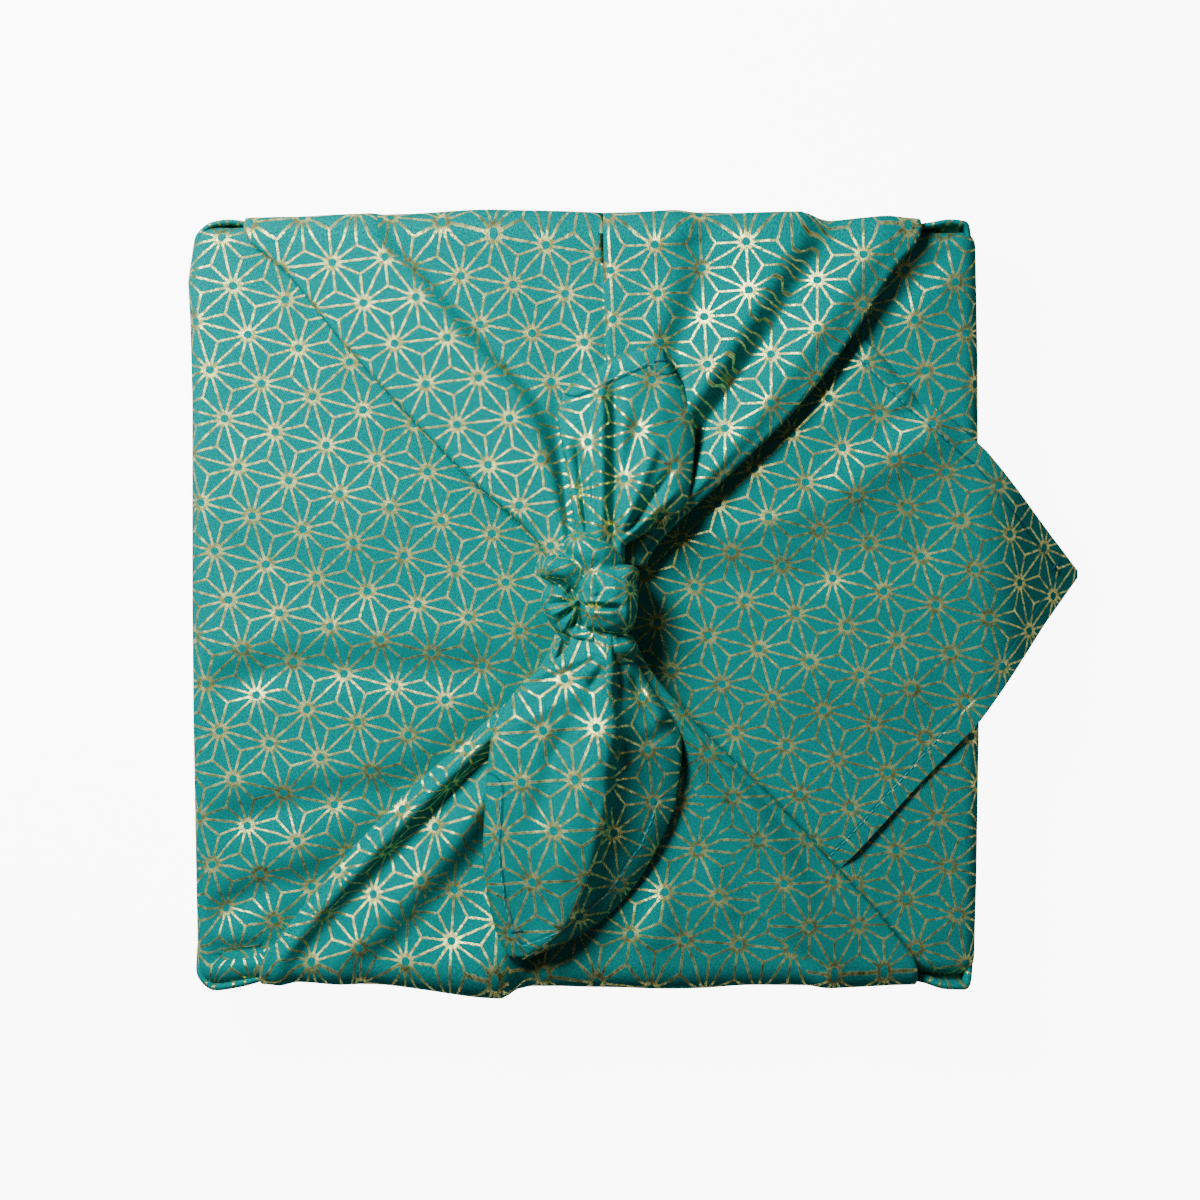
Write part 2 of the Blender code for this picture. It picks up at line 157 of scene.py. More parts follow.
@dataclass(frozen=True)
class Ridge:
    """A soft raised line in the cloth, or a trough where the height is negative."""

    start: Pair
    end: Pair
    height: float
    width: float
    fading: float = 0.25  # share of the line over which it rises at each end
    blunt: float = 0.2  # how much of its rise it already has at its ends

    def lift(self, x: Grid, y: Grid) -> Grid:
        """Height that the ridge adds at each point.

        Args:
            x: East of each point.
            y: North of each point.

        Returns:
            The added heights.
        """
        away, along = away_from_line(x, y, self.start, self.end)
        risen = smooth_step(along / self.fading + self.blunt)
        risen = risen * smooth_step((1 - along) / self.fading + self.blunt)
        return self.height * risen * np.exp(-((away / self.width) ** 2))


def ridges(*rows: tuple[float, float, float, float, float, float]) -> tuple[Ridge, ...]:
    """Ridges from rows of start east and north, end east and north, height and width."""
    return tuple(Ridge(row[:2], row[2:4], *row[4:]) for row in rows)


@dataclass(frozen=True)
class Ear:
    """A top corner of the wrapped box where the turned-in cloth stands out."""

    corner: Pair
    north: float  # how far it stands out, towards the north
    reach: float
    flap: Flap
    foot: float = 6.0  # it starts at this height
    climb: float = 26.0  # and stands out in full this much higher

    def push(self, x: Grid, y: Grid, z: Grid) -> Grid:
        """How far each point is pushed north."""
        away = np.hypot(x - self.corner[0], y - self.corner[1])
        return self.north * np.exp(-((away / self.reach) ** 2)) * smooth_step((z - self.foot) / self.climb)


# The print's repeat


@dataclass(frozen=True)
class Repeat:
    """How the rows of printed stars lie on one stretch of cloth.

    A stretch that was pulled or folded has its stars turned and a little closer one way than the other.
    """

    star: Pair  # centre of one star
    row: Pair  # distance to the next star in a row, and the row's bearing
    rank: Pair  # the same for the next row

    def count(self, x: Grid, y: Grid) -> Grid:
        """Place of points, counted in stars along the row and along the rank.

        Args:
            x: East of each point.
            y: North of each point.

        Returns:
            The two counts in the last axis.
        """
        (a, bearing_a), (b, bearing_b) = self.row, self.rank
        ax, ay = a * math.cos(math.radians(bearing_a)), a * math.sin(math.radians(bearing_a))
        bx, by = b * math.cos(math.radians(bearing_b)), b * math.sin(math.radians(bearing_b))
        dx, dy = x - self.star[0], y - self.star[1]
        turn = ax * by - ay * bx
        return np.stack([(dx * by - dy * bx) / turn, (ax * dy - ay * dx) / turn], axis=-1)


PRINT_PITCH = 17.85  # distance between neighbouring stars on the flat cloth
WEST_PRINT = Repeat((-121.7, 110.0), (18.35, -14.7), (17.7, -74.3))


def cloth_place(count: Grid) -> Grid:
    """Turn counts of stars into a place on the flat cloth.

    Args:
        count: Counts along the row and the rank, in the last axis.

    Returns:
        Places in metres, in the last axis.
    """
    across = count[..., 0] + count[..., 1] / 2
    down = count[..., 1] * math.sqrt(0.75)
    return np.stack([across, -down], axis=-1) * PRINT_PITCH * MM


def corners_of(values: Grid) -> Grid:
    """The values at the four corners of each face of a grid, shape (rows - 1, columns - 1, 4, ...)."""
    return np.stack([values[:-1, :-1], values[1:, :-1], values[1:, 1:], values[:-1, 1:]], axis=2)


# Sheets


NO_HEM = 99.0  # hem distance where there is no hem near


@dataclass
class Patch:
    """A stretch of the sheet: a grid of points, the print at each face's corners and the way to a hem."""

    points: Grid
    printed: Grid
    hem: Grid

    @classmethod
    def of(cls, points: Grid, count: Grid, hem: Grid | None = None) -> "Patch":
        """A patch whose print runs on from face to face, by the counts of stars at its points."""
        away = np.full(points.shape[:2], NO_HEM) if hem is None else hem
        return cls(points, corners_of(cloth_place(count)), away)


@dataclass
class Sheet:
    """Cloth made of patches, given its thickness."""

    name: str
    patches: list[Patch]
    thickness: float = 0.45
    hem_thickness: float = 0.95
    hem_width: float = 6.0
    hem_step: float = 0.8  # half the width over which the doubled cloth thins
    levels: int = 1  # decimals that the thinning is rounded to

    def build(self, material: Material) -> Object:
        """Make the mesh with its print map, its hem distances and its thickness.

        Args:
            material: Finish of the cloth.

        Returns:
            The object, at the origin.
        """
        points, quads, places, hems = [], [], [], []
        start = 0
        for patch in self.patches:
            rows, columns = patch.points.shape[:2]
            index = start + np.arange(rows * columns).reshape(rows, columns)
            points.append(patch.points.reshape(-1, 3))
            quads.append(corners_of(index).reshape(-1, 4))
            places.append(patch.printed.reshape(-1, 2))
            hems.append(patch.hem.reshape(-1))
            start += rows * columns
        made = mesh_object(self.name, np.concatenate(points), np.concatenate(quads), np.concatenate(places))
        away = np.concatenate(hems)
        mark_hem(made.data, away)
        made.data.materials.append(material)
        group = made.vertex_groups.new(name="doubled")
        folded = smooth_step((self.hem_width + self.hem_step - away) / (2 * self.hem_step))
        for level in np.unique(np.round(folded[folded > 0.01], self.levels)):
            chosen = np.flatnonzero(np.round(folded, self.levels) == level)
            group.add(chosen.tolist(), float(level), "REPLACE")
        walls = made.modifiers.new("thickness", "SOLIDIFY")
        walls.thickness = self.hem_thickness * MM
        walls.offset = 0.0
        walls.vertex_group = group.name
        walls.thickness_vertex_group = self.thickness / self.hem_thickness
        return made


def in_scene(name: str, data: bpy.types.ID) -> Object:
    """Put data into the scene.

    Args:
        name: Name of the object.
        data: Mesh, curve, light or camera.

    Returns:
        The new object that holds it.
    """
    made = bpy.data.objects.new(name, data)
    bpy.context.scene.collection.objects.link(made)
    return made


def mark_hem(mesh: bpy.types.Mesh, away: Grid) -> None:
    """Store each point's distance from the nearest hem, for the cotton's finish."""
    stored = mesh.attributes.new("hem", "FLOAT", "POINT")
    stored.data.foreach_set("value", away.astype(np.float32))


def mesh_object(name: str, points: Grid, quads: Grid, places: Grid) -> Object:
    """A smooth-shaded mesh from arrays.

    Args:
        name: Object and mesh name.
        points: Points in millimetres.
        quads: Four corner numbers for each face.
        places: Place on the flat cloth for each corner, in metres.

    Returns:
        The linked object.
    """
    mesh = bpy.data.meshes.new(name)
    mesh.vertices.add(len(points))
    mesh.vertices.foreach_set("co", (points * MM).astype(np.float32).ravel())
    mesh.loops.add(quads.size)
    mesh.loops.foreach_set("vertex_index", quads.astype(np.int32).ravel())
    mesh.polygons.add(len(quads))
    mesh.polygons.foreach_set("loop_start", np.arange(0, quads.size, 4, dtype=np.int32))
    layer = mesh.uv_layers.new(name="Print")
    layer.uv.foreach_set("vector", places.astype(np.float32).ravel())
    mesh.update(calc_edges=True)
    mesh.shade_smooth()
    return in_scene(name, mesh)


ARC_STEPS = 5  # steps round each rounded corner of a section


def rounded_path(corners: Sequence[Pair], radii: Sequence[float], stretches: Sequence[Grid]) -> Grid:
    """Points along a line with rounded corners.

    Args:
        corners: Ends and corners of the line.
        radii: Radius at each inner corner.
        stretches: For each straight stretch, the shares of it at which its points lie, without 0.

    Returns:
        The points, the same number whatever the corners are.
    """
    ends = [np.array(c, float) for c in corners]
    points = [ends[0]]

    def straight_to(end: Grid, shares: Grid) -> None:
        """Add the points of one stretch, up to end."""
        begin = points[-1]
        points.extend(begin + (end - begin) * share for share in shares)

    for before, corner, after, radius, shares in zip(ends, ends[1:], ends[2:], radii, stretches):
        d0 = (before - corner) / np.linalg.norm(before - corner)
        d1 = (after - corner) / np.linalg.norm(after - corner)
        half = math.acos(np.clip(d0 @ d1, -1, 1)) / 2
        straight_to(corner + d0 * radius / math.tan(half), shares)
        centre = corner + (d0 + d1) / np.linalg.norm(d0 + d1) * radius / math.sin(half)
        start, end = points[-1] - centre, corner + d1 * radius / math.tan(half) - centre
        for k in range(1, ARC_STEPS + 1):
            mixed = start * (ARC_STEPS - k) + end * k
            points.append(centre + mixed / np.linalg.norm(mixed) * radius)
    straight_to(ends[-1], stretches[-1])
    return np.array(points)


def even(count: int) -> Grid:
    """Shares of a stretch cut into equal steps."""
    return np.arange(1, count + 1) / count


@dataclass(frozen=True)
class EarLip:
    """A thin fold of turned-in cloth that stands at a top corner, with a slit behind it."""

    line: Sequence[Triple]  # top of the fold: east, north, height
    turned: float  # 1 where the fold's outer side is on the left of its line, -1 on the right
    width: float = 1.5
    columns: int = 30
    repeat: Repeat = WEST_PRINT
    # section from inside the slit over the top and down outside: depth, and share of the width outward
    drops: Sequence[float] = (8.0, 8.5, 7.0, 4.0, 1.6, 0.4, 0.0, 0.15, 0.7, 1.8, 4.0, 9.0, 20.0)
    spread: Sequence[float] = (-0.5, -0.5, -0.5, -0.5, -0.46, -0.3, -0.05, 0.22, 0.42, 0.5, 0.55, 0.5, 0.1)
    pocket: Pair = (5.0, 2.0)  # how far the pocket's floor runs back to the wall
    foot: float = 3.0  # no part of it hangs lower

    def patch(self) -> Patch:
        """Lay the fold along its line.

        Returns:
            Its grid, from inside the slit over the top and down outside, with its print.
        """
        table = np.array(self.line, float)
        run = np.concatenate([[0.0], np.cumsum(np.linalg.norm(np.diff(table[:, :2], axis=0), axis=1))])
        at = np.linspace(0, run[-1], self.columns)
        top = np.stack([smooth_curve(run, column, at) for column in table.T], axis=1)
        along = np.gradient(top[:, :2], axis=0)
        outward = self.turned * np.stack([-along[:, 1], along[:, 0]], axis=1)
        outward /= np.linalg.norm(outward, axis=1, keepdims=True)
        drops, out = np.array(self.drops), np.array(self.spread) * self.width
        out[:2] -= self.pocket
        low = np.minimum(drops, np.maximum(top[:, 2:] - self.foot, 0.0))
        plan = top[:, None, :2] + outward[:, None, :] * out[None, :, None]
        points = np.concatenate([plan, (top[:, 2:] - low)[..., None]], axis=2)
        flat = top[:, None, :2] + outward[:, None, :] * (out + drops * (out > 0))[None, :, None]
        return Patch.of(points, self.repeat.count(flat[..., 0], flat[..., 1]))


EAR_LIPS = (
    EarLip(
        ((-136, 118, 30), (-135.6, 126, 36.2), (-130.6, 131.6, 37), (-124.5, 132.6, 36.8), (-117, 132, 34)),
        turned=1,
    ),
    EarLip(
        ((114, 131, 34), (121, 131.6, 36.2), (128, 132.6, 37.4), (133.6, 132, 37.2), (136.2, 122, 30)),
        turned=1,
    ),
    EarLip(
        ((112, -132, 32), (119, -133, 36), (127, -135.2, 37), (133.5, -135.4, 37), (136.2, -123, 30)),
        turned=-1,
        width=2.4,
    ),
    EarLip(
        ((-135.2, -121, 30), (-135, -130, 35.6), (-129.4, -135.8, 36.8), (-120, -134.4, 36.6),
         (-108, -131, 33)),
        turned=-1,
        width=2.2,
    ),
)


# The tied strips


@dataclass
class Strip:
    """A corner of the cloth brought up one wall and pulled in to the knot, its sides folded under."""

    wall: float  # where the strip's wall stands, north or south
    creases: dict[str, tuple[Sequence[float], Sequence[float]]]
    repeats: Sequence[tuple[str, Repeat]]  # print from the crease of this name on, west to east
    eased: Sequence[str]  # creases before which the print is drawn together
    tucked: Sequence[str]  # creases at which cloth is tucked away, so that the print breaks there
    folds: Sequence[Ridge]
    edge_line: Sequence[Pair]  # (east, how far the cloth stands out from the wall below the top edge)
    seed: int
    height: float = 38.0
    width: float = 276.0
    fold_width: float = 75.0  # cloth turned under along each side
    fold_radius: float = 1.5
    fold_turns: Sequence[float] = (-70, -35, 0, 35, 70)  # points round the fold, in degrees
    hidden_shares: Sequence[float] = (1.0, 0.6, 0.25)  # points across the cloth turned under
    under: float = 1.0  # height of that cloth over the west flap
    clear: float = 0.9  # how far the upper face stays above it
    foot_radius: float = 4.0
    edge_radius: float = 5.0
    column: float = 3.3
    rows: tuple[int, int] = (14, 66)  # up the wall, and over the top
    stations: Sequence[float] = (130, 115, 91, 66, 42, 19, 12)
    wrinkle: float = 0.34
    calm_side: float = 0.06  # share of the width over which the drag lines fade at each side
    drag_start: Pair = (30.0, 40.0)  # how far below the top edge they start, and the run to their full rise
    joined_at: float = 92.0  # distance from the knot at which neighbouring prints are matched
    level: float = 5.0  # the creases' middle height over the west flap
    relief: float = 1.25  # how much they stand out from it
    spread: float = 1.12  # how much further apart the creases lie at the base
    corner_room: float = 5.1  # what is left free at the base's corners
    flat_foot: float = 12.0  # the wall's lowest part, over which the cloth lies flat
    flat_top: float = 9.0  # the wall's top part, where it stands out in full
    rolling_run: float = 9.0  # run over which the sides roll from flat to turned under
    tuck_start: float = 18.0  # run above the foot where the turned cloth starts to be drawn out
    tuck_run: float = 30.0
    tuck_gap: float = 6.0  # what the two turned sides leave between them
    side_ease: float = 3.0  # columns over which the creases' small folds fade at the sides

    def spine(self) -> tuple[Grid, Grid, Grid]:
        """Line of the strip's middle up the wall and over the top, seen from the side.

        Returns:
            Its points (distance from the knot, height), the outward directions there, and the run so far.
        """
        side, top = abs(self.wall), self.height - 0.6
        corners = [(side - self.foot_radius - 5, 0.25), (side, 0.25), (side, top), (self.stations[-1], top)]
        wall_rows, top_rows = self.rows
        stretches = [even(2), even(wall_rows), even(top_rows)]
        line = rounded_path(corners, [self.foot_radius, self.edge_radius], stretches)
        steps = np.linalg.norm(np.diff(line, axis=0), axis=1)
        run = np.concatenate([[0.0], np.cumsum(steps)])
        along = np.gradient(line, axis=0)
        outward = np.stack([along[:, 1], -along[:, 0]], axis=1) / np.linalg.norm(along, axis=1, keepdims=True)
        return line, outward, run

    def folded_side(self, east: float, rise: float, inward: float, swing: float, reach: float) -> list[Pair]:
        """Section of a folded side, from the hidden cloth round to the upper face.

        Args:
            east: Where the fold's edge lies.
            rise: Height of the upper face.
            inward: Direction of the strip's middle, 1 or -1.
            swing: From lying flat outward, 0, to rolled under, 1.
            reach: How much of the turned cloth is drawn out below.

        Returns:
            Points as (east, height).
        """
        low = rise - (rise - self.under) * swing
        radius = (rise - low) / 2
        wide = min(radius, self.fold_radius)
        section = []
        for share in self.hidden_shares:
            section.append((0.3 * wide + share * reach * self.fold_width, low))
        for turn in self.fold_turns:
            angle = math.radians(turn)
            section.append((wide * (1 - math.cos(angle)), low + radius * (1 + math.sin(angle))))
        section.append((wide + 1.0, rise))
        last = len(section) - 1
        return [(east + inward * (x - 0.5 * (1 - swing) * (last - k)), h) for k, (x, h) in enumerate(section)]

    def crease_lines(self, run: Grid, foot_run: float, edge_run: float) -> list[tuple[Grid, Grid]]:
        """Each crease's way up the wall and over the top.

        Args:
            run: Run of each row.
            foot_run: Run at the wall's foot.
            edge_run: Run at the box's top edge.

        Returns:
            East and height of each crease in each row, from west to east.
        """
        at = [foot_run, foot_run + self.flat_foot, edge_run - self.flat_top]
        at += [edge_run + self.stations[0] - station for station in self.stations]
        limit = self.width / 2 - self.corner_room
        lowest, middle = self.under + self.clear, self.level
        lines = []
        for east, heights in self.creases.values():
            rise = [max(lowest, middle + self.relief * (height - middle)) for height in heights]
            base = float(np.clip(east[0] * self.spread, -limit, limit))
            path = smooth_curve(at, [base, base * 0.6 + east[0] * 0.4, east[0], *east], run)
            out = float(np.interp(east[0], *zip(*self.edge_line)))
            lines.append((path, smooth_curve(at, [0, max(0.8, 0.7 * out), out, *rise], run)))
        return lines

    def cross_section(self, creases: Sequence[Pair], counts: Sequence[int], above_foot: float) -> list[Pair]:
        """One row across the strip, with the cloth turned under at both its sides.

        Args:
            creases: Each crease's east and height in this row.
            counts: Columns of each stretch between two creases.
            above_foot: The row's run past the wall's foot.

        Returns:
            Points as (east, height).
        """
        swing = float(smooth_step((above_foot - self.flat_foot) / self.rolling_run))
        reach = float(smooth_step((above_foot - self.tuck_start) / self.tuck_run))
        (west_edge, west_rise), (east_edge, east_rise) = creases[0], creases[-1]
        room = max(0.0, (east_edge - west_edge) / 2 - self.tuck_gap)
        reach *= min(1.0, room / self.fold_width)
        west = self.folded_side(west_edge, west_rise, 1, swing, reach)
        east = self.folded_side(east_edge, east_rise, -1, swing, reach)
        inner = [west[-1], *creases[1:-1], east[-1]]
        section = west[:-1]
        for (x0, h0), (x1, h1), count in zip(inner, inner[1:], counts):
            for k in range(count):
                t = k / count
                section.append((x0 + (x1 - x0) * t, h0 + (h1 - h0) * (0.2 * t + 0.8 * smooth_step(t))))
        return section + east[::-1]

    def patch(self) -> Patch:
        """Lay the strip up its wall and over the top.

        Returns:
            Its grid, from the base's edge to the knot and from west to east, with its print.
        """
        line, outward, run = self.spine()
        foot_run = self.foot_radius + 1.0
        edge_run = run[-1] - (self.stations[0] - self.stations[-1])
        lines = self.crease_lines(run, foot_run, edge_run)
        widths = [float(np.max(b[0] - a[0])) for a, b in zip(lines, lines[1:])]
        counts = [max(3, round(width / self.column)) for width in widths]
        rows = [[(path[row], rise[row]) for path, rise in lines] for row in range(len(run))]
        grid = np.array([self.cross_section(row, counts, at - foot_run) for row, at in zip(rows, run)])
        side_columns = len(self.hidden_shares) + len(self.fold_turns)
        self.ripple(grid, run, edge_run, side_columns)
        place = np.arange(grid.shape[1])
        from_west, from_east = place - side_columns, grid.shape[1] - side_columns - place
        inside = (smooth_step(from_west / self.side_ease) * smooth_step(from_east / self.side_ease))[None, :]
        sign = math.copysign(1, self.wall)
        x, rise = grid[..., 0], grid[..., 1]
        y = sign * (line[:, :1] + outward[:, :1] * rise)
        z = line[:, 1:] + outward[:, 1:] * rise
        plan_y = np.broadcast_to(sign * (self.stations[0] + edge_run - run)[:, None], x.shape)
        starts = np.concatenate([[side_columns], side_columns + np.cumsum(counts)])
        lift = sum(fold.lift(x, y) for fold in self.folds)
        on_top = outward[:, 1:] > 0.7
        z = z + np.maximum(lift, self.under + self.clear - rise) * on_top * inside
        printed = self.printed(x, plan_y, rise, starts)
        return Patch(np.stack([x, y, z], axis=-1), printed, np.full(x.shape, NO_HEM))

    def ripple(self, grid: Grid, run: Grid, edge_run: float, side_columns: int) -> None:
        """Add the small drag lines that run towards the knot.

        Args:
            grid: Points as (east, height), changed in place.
            run: Run of each row.
            edge_run: Run at the box's top edge.
            side_columns: Columns of each folded side, which stay as they are.
        """
        columns = grid.shape[1]
        share = (np.arange(columns) - side_columns) / (columns - 2 * side_columns - 1)
        inside = smooth_step(share / self.calm_side) * smooth_step((1 - share) / self.calm_side)
        start, over = self.drag_start
        rows = np.clip((run - edge_run + start) / over, 0, 1)[:, None]
        slow = (run / 90.0)[:, None]
        drawn = rumple(share[None, :] * 6.0, slow, 1.0, self.seed)
        drawn += 0.5 * rumple(share[None, :] * 13.0, slow * 1.6, 1.0, self.seed + 1)
        grid[..., 1] += self.wrinkle * drawn * inside[None, :] * (0.35 + 0.65 * rows)

    def printed(self, x: Grid, y: Grid, rise: Grid, starts: Grid) -> Grid:
        """Print at the face corners, each stretch between two creases with its own repeat.

        Args:
            x: East of each point.
            y: North of each point with the wall laid flat.
            rise: Height of each point over the west flap.
            starts: First column of each stretch.

        Returns:
            Places on the flat cloth.
        """
        names = list(self.creases)
        across = np.hypot(np.diff(x, axis=1), np.diff(rise, axis=1))
        arc = np.concatenate([np.zeros((len(x), 1)), np.cumsum(across, axis=1)], axis=1)
        shown = np.clip(np.arange(x.shape[1]), starts[0], starts[-1])
        laid = arc - arc[:, shown] + x[:, shown]
        counts = []
        for _, repeat in self.repeats:
            counts.append(repeat.count(laid, y))
        current = counts[0]
        result = corners_of(cloth_place(current))
        middle = int(np.argmin(np.abs(np.abs(y[:, 0]) - self.joined_at)))
        for (name, _), following in zip(self.repeats[1:], counts[1:]):
            place = names.index(name)
            first, last = int(starts[place - 1]), int(starts[place])
            if name in self.eased:
                share = smooth_step((np.arange(x.shape[1]) - first) / (last - first))[None, :, None]
                probe = middle, (first + last) // 2
                following = following + np.round(current[probe] - following[probe])
                current = current * (1 - share) + following * share
            else:
                current = following
                first = last if name in self.tucked else (first + last) // 2
            result[:, first:] = corners_of(cloth_place(current))[:, first:]
        return result

    def covers(self, x: Grid, y: Grid, margin: float) -> Grid:
        """How much the strip lies over points of the flap: 1 under it, falling to 0 at the margin.

        Args:
            x: East of each point.
            y: North of each point.
            margin: Distance past its edges over which the strip still counts.

        Returns:
            1 under the strip, 0 past the margin.
        """
        sign = math.copysign(1, self.wall)
        names = list(self.creases)
        order = list(self.stations)[::-1]
        west = np.interp(sign * y, order, list(self.creases[names[0]][0])[::-1])
        east = np.interp(sign * y, order, list(self.creases[names[-1]][0])[::-1])
        outside = np.maximum(west - x, x - east)
        return smooth_step(1 - outside / margin) * smooth_step((sign * y - 5) / 12)


NORTH_STRIP = Strip(
    wall=131.5,
    seed=11,
    eased=("deep dip",),
    tucked=("pleat lip",),
    folds=ridges(
        (-10.5, 72, -6.4, 24, -1.0, 2.2), (41, 76, 27, 34, -1.0, 2.4), (-30, 48, -16, 22, 0.8, 2.6),
        (25, 124, 47, 134, 0.8, 2.4), (28, 118, 50, 130, -0.9, 3.0), (-96, 112, -50, 60, 0.6, 4),
        (60, 78, 34, 40, 0.7, 2.4),
    ),
    edge_line=(
        (-118, 1.2), (-106, 1.8), (-85, 4.6), (-75, 3.9), (-54, 5), (-43, 6), (-22, 6.6), (0, 5.8), (9, 4.8),
        (19, 4.8), (30, 5.4), (51, 4.6), (62, 3), (72, 1.2), (83, 2.2), (93, -0.2), (118, -0.6),
    ),
    creases={
        "west fold": ((-119, -104.3, -85, -62.6, -39.2, -15.4, -12), (3.8, 3.9, 4.1, 4.6, 6, 8.5, 9.1)),
        "west crest": ((-74.5, -61.8, -41.5, -20.3, -11, -6.6, -5.6), (4.8, 5.6, 6.6, 7.4, 8.8, 10, 10.4)),
        "crest foot": ((-68, -55.3, -34.8, -13.8, -7.4, -5, -4.4), (2.6, 2.3, 2.3, 3.2, 6.2, 9.4, 10)),
        "broad dip": ((-33, -20.7, -10, -3, -2, -1.4, -1.2), (4.6, 4.0, 3.2, 3.4, 6, 9.2, 9.8)),
        "pleat foot": ((7.3, 7.5, 8.2, 7.6, 4.8, 1.5, 0.9), (3.9, 3.9, 3.9, 4.3, 6.6, 9.6, 10.2)),
        "pleat lip": ((6.9, 7.1, 7.8, 7.2, 4.4, 1.2, 0.7), (4.7, 4.7, 4.7, 5, 7.2, 10, 10.5)),
        "soft crest": ((32, 31.5, 25, 17.5, 10.5, 4, 3.2), (5.6, 5.6, 5.4, 6, 7.6, 10, 10.5)),
        "soft dip": ((42.5, 41, 33, 24, 14, 5.4, 4.4), (3.4, 2.8, 2.2, 3.2, 6.8, 9.6, 10.2)),
        "east crest": ((76, 67.5, 53, 36.5, 22.5, 8, 6.7), (6.6, 7.8, 9, 9.6, 10, 10.6, 10.8)),
        "deep dip": ((85.5, 77, 62, 44.3, 28.5, 12.4, 10.4), (2.2, 1.6, 1.4, 1.8, 4.6, 8.6, 9.4)),
        "band crest": ((106.5, 97.3, 80.5, 62, 42.5, 20, 16.4), (5, 6.6, 8.0, 8.8, 9.4, 10, 10.2)),
        "east fold": ((118, 107.8, 92.8, 73.2, 48.7, 25.2, 20.9), (4.2, 5.2, 6.2, 7.0, 7.6, 8.6, 9.0)),
    },
    repeats=(
        ("west fold", Repeat((-76.9, 103.6), (18.5, 6.1), (17.85, -52.4))),
        ("crest foot", Repeat((-24.8, 110.1), (18.5, -9.8), (18.2, -68.4))),
        ("pleat lip", Repeat((42.0, 98.9), (18.2, -26), (17.0, -87))),
        ("deep dip", Repeat((81.2, 94.4), (17.8, -29), (17.3, -91))),
    ),
)

SOUTH_STRIP = Strip(
    wall=-132.5,
    seed=29,
    eased=("west dip",),
    tucked=("deep dip",),
    folds=ridges(
        (34, -58, 52.5, -91, -2.6, 1.6), (52.5, -91, 66, -115, -2.2, 1.5),
        (66, -115, 78, -130, -1.6, 1.5), (43, -90, 52, -112, 1.2, 3.4), (62, -66, 88, -112, -0.9, 3),
        (30, -100, 22, -122, 1.8, 5), (66, -97, 88, -132, 1.2, 2.2), (74, -84, 104, -128, -1.0, 4),
        (-66, -50, -40, -30, 0.7, 2), (-96, -88, -60, -54, -0.6, 2), (86, -126, 100, -136, -1.0, 2),
        (-40, -96, -62, -124, 0.8, 4),
    ),
    edge_line=(
        (-113, 1.2), (-96, 1.1), (-85, 1.6), (-75, 2.8), (-64, 3.8), (-54, 5), (-43, 5.7), (-33, 6),
        (-24, 5.4), (-15, 1.2), (-6, 3.2), (9, 3.7), (20, 2.4), (30, 3), (51, 3.4), (62, 3), (72, 2.5),
        (83, 2.7), (93, 0.9), (117, 0.9),
    ),
    creases={
        "west fold": ((-113.4, -104, -84.4, -60.6, -33.3, -12.6, -10), (3.8, 3.9, 4.2, 4.8, 6, 8.4, 9)),
        "west crest": ((-107, -97.5, -76, -52, -27.4, -10, -7.9), (4.6, 5.8, 7.4, 8.6, 9.2, 10, 10.4)),
        "west dip": ((-101, -91, -68.5, -44.5, -22.6, -8, -6.2), (2.2, 1.8, 1.5, 1.9, 4.6, 8.6, 9.5)),
        "second crest": ((-86, -72, -50.5, -32, -16, -6, -4.6), (4.4, 6.2, 7.8, 8.6, 9, 10, 10.5)),
        "second dip": ((-74, -58.5, -38.5, -23, -11, -3.8, -2.8), (2.6, 1.8, 1.4, 1.8, 5.2, 9.2, 9.9)),
        "tip ridge": ((-29, -25, -17, -10, -4.6, -1, -0.5), (8.2, 6.8, 4.2, 4.2, 6.6, 9.6, 10.2)),
        "tip notch": ((-21, -18.5, -10, -5, -1.6, 0.8, 1), (0.8, 1.0, 2.2, 3.4, 6.2, 9.4, 10)),
        "tip bank": ((-14, -11, -4, -1, 1, 2, 1.8), (4.6, 3.8, 3.0, 3.6, 6.2, 9.4, 10)),
        "broad crest": ((29, 29, 28, 18, 11, 5.6, 4.8), (4.8, 5.4, 3.6, 3.4, 6.2, 9.4, 10)),
        "deep dip": ((78, 66, 52.5, 38.5, 23, 9.4, 8), (3, 1.8, 0.6, 0.2, 1.6, 7.6, 9.4)),
        "band crest": ((87, 78.5, 68.5, 54, 33, 13.6, 11.5), (5.6, 7.0, 8.2, 9.2, 9.8, 10.2, 10.4)),
        "east fold": ((116.6, 107.1, 85.8, 62.6, 38, 19.8, 16.7), (4.2, 4.2, 4.8, 6.4, 7.8, 8.8, 9.2)),
    },
    repeats=(
        ("west fold", Repeat((-63.2, -73.0), (17.9, 13), (17.9, -47))),
        ("west dip", Repeat((-73.5, -102.8), (17.6, 17), (17.9, -48))),
        ("second dip", Repeat((-46.2, -119.0), (17.6, 24), (18.6, -35))),
        ("tip notch", Repeat((46.9, -103.8), (18.9, -5.8), (18.0, -67))),
        ("deep dip", Repeat((69.6, -98.7), (17.4, 1), (17.5, -59.5))),
    ),
)


# The cloth round the box


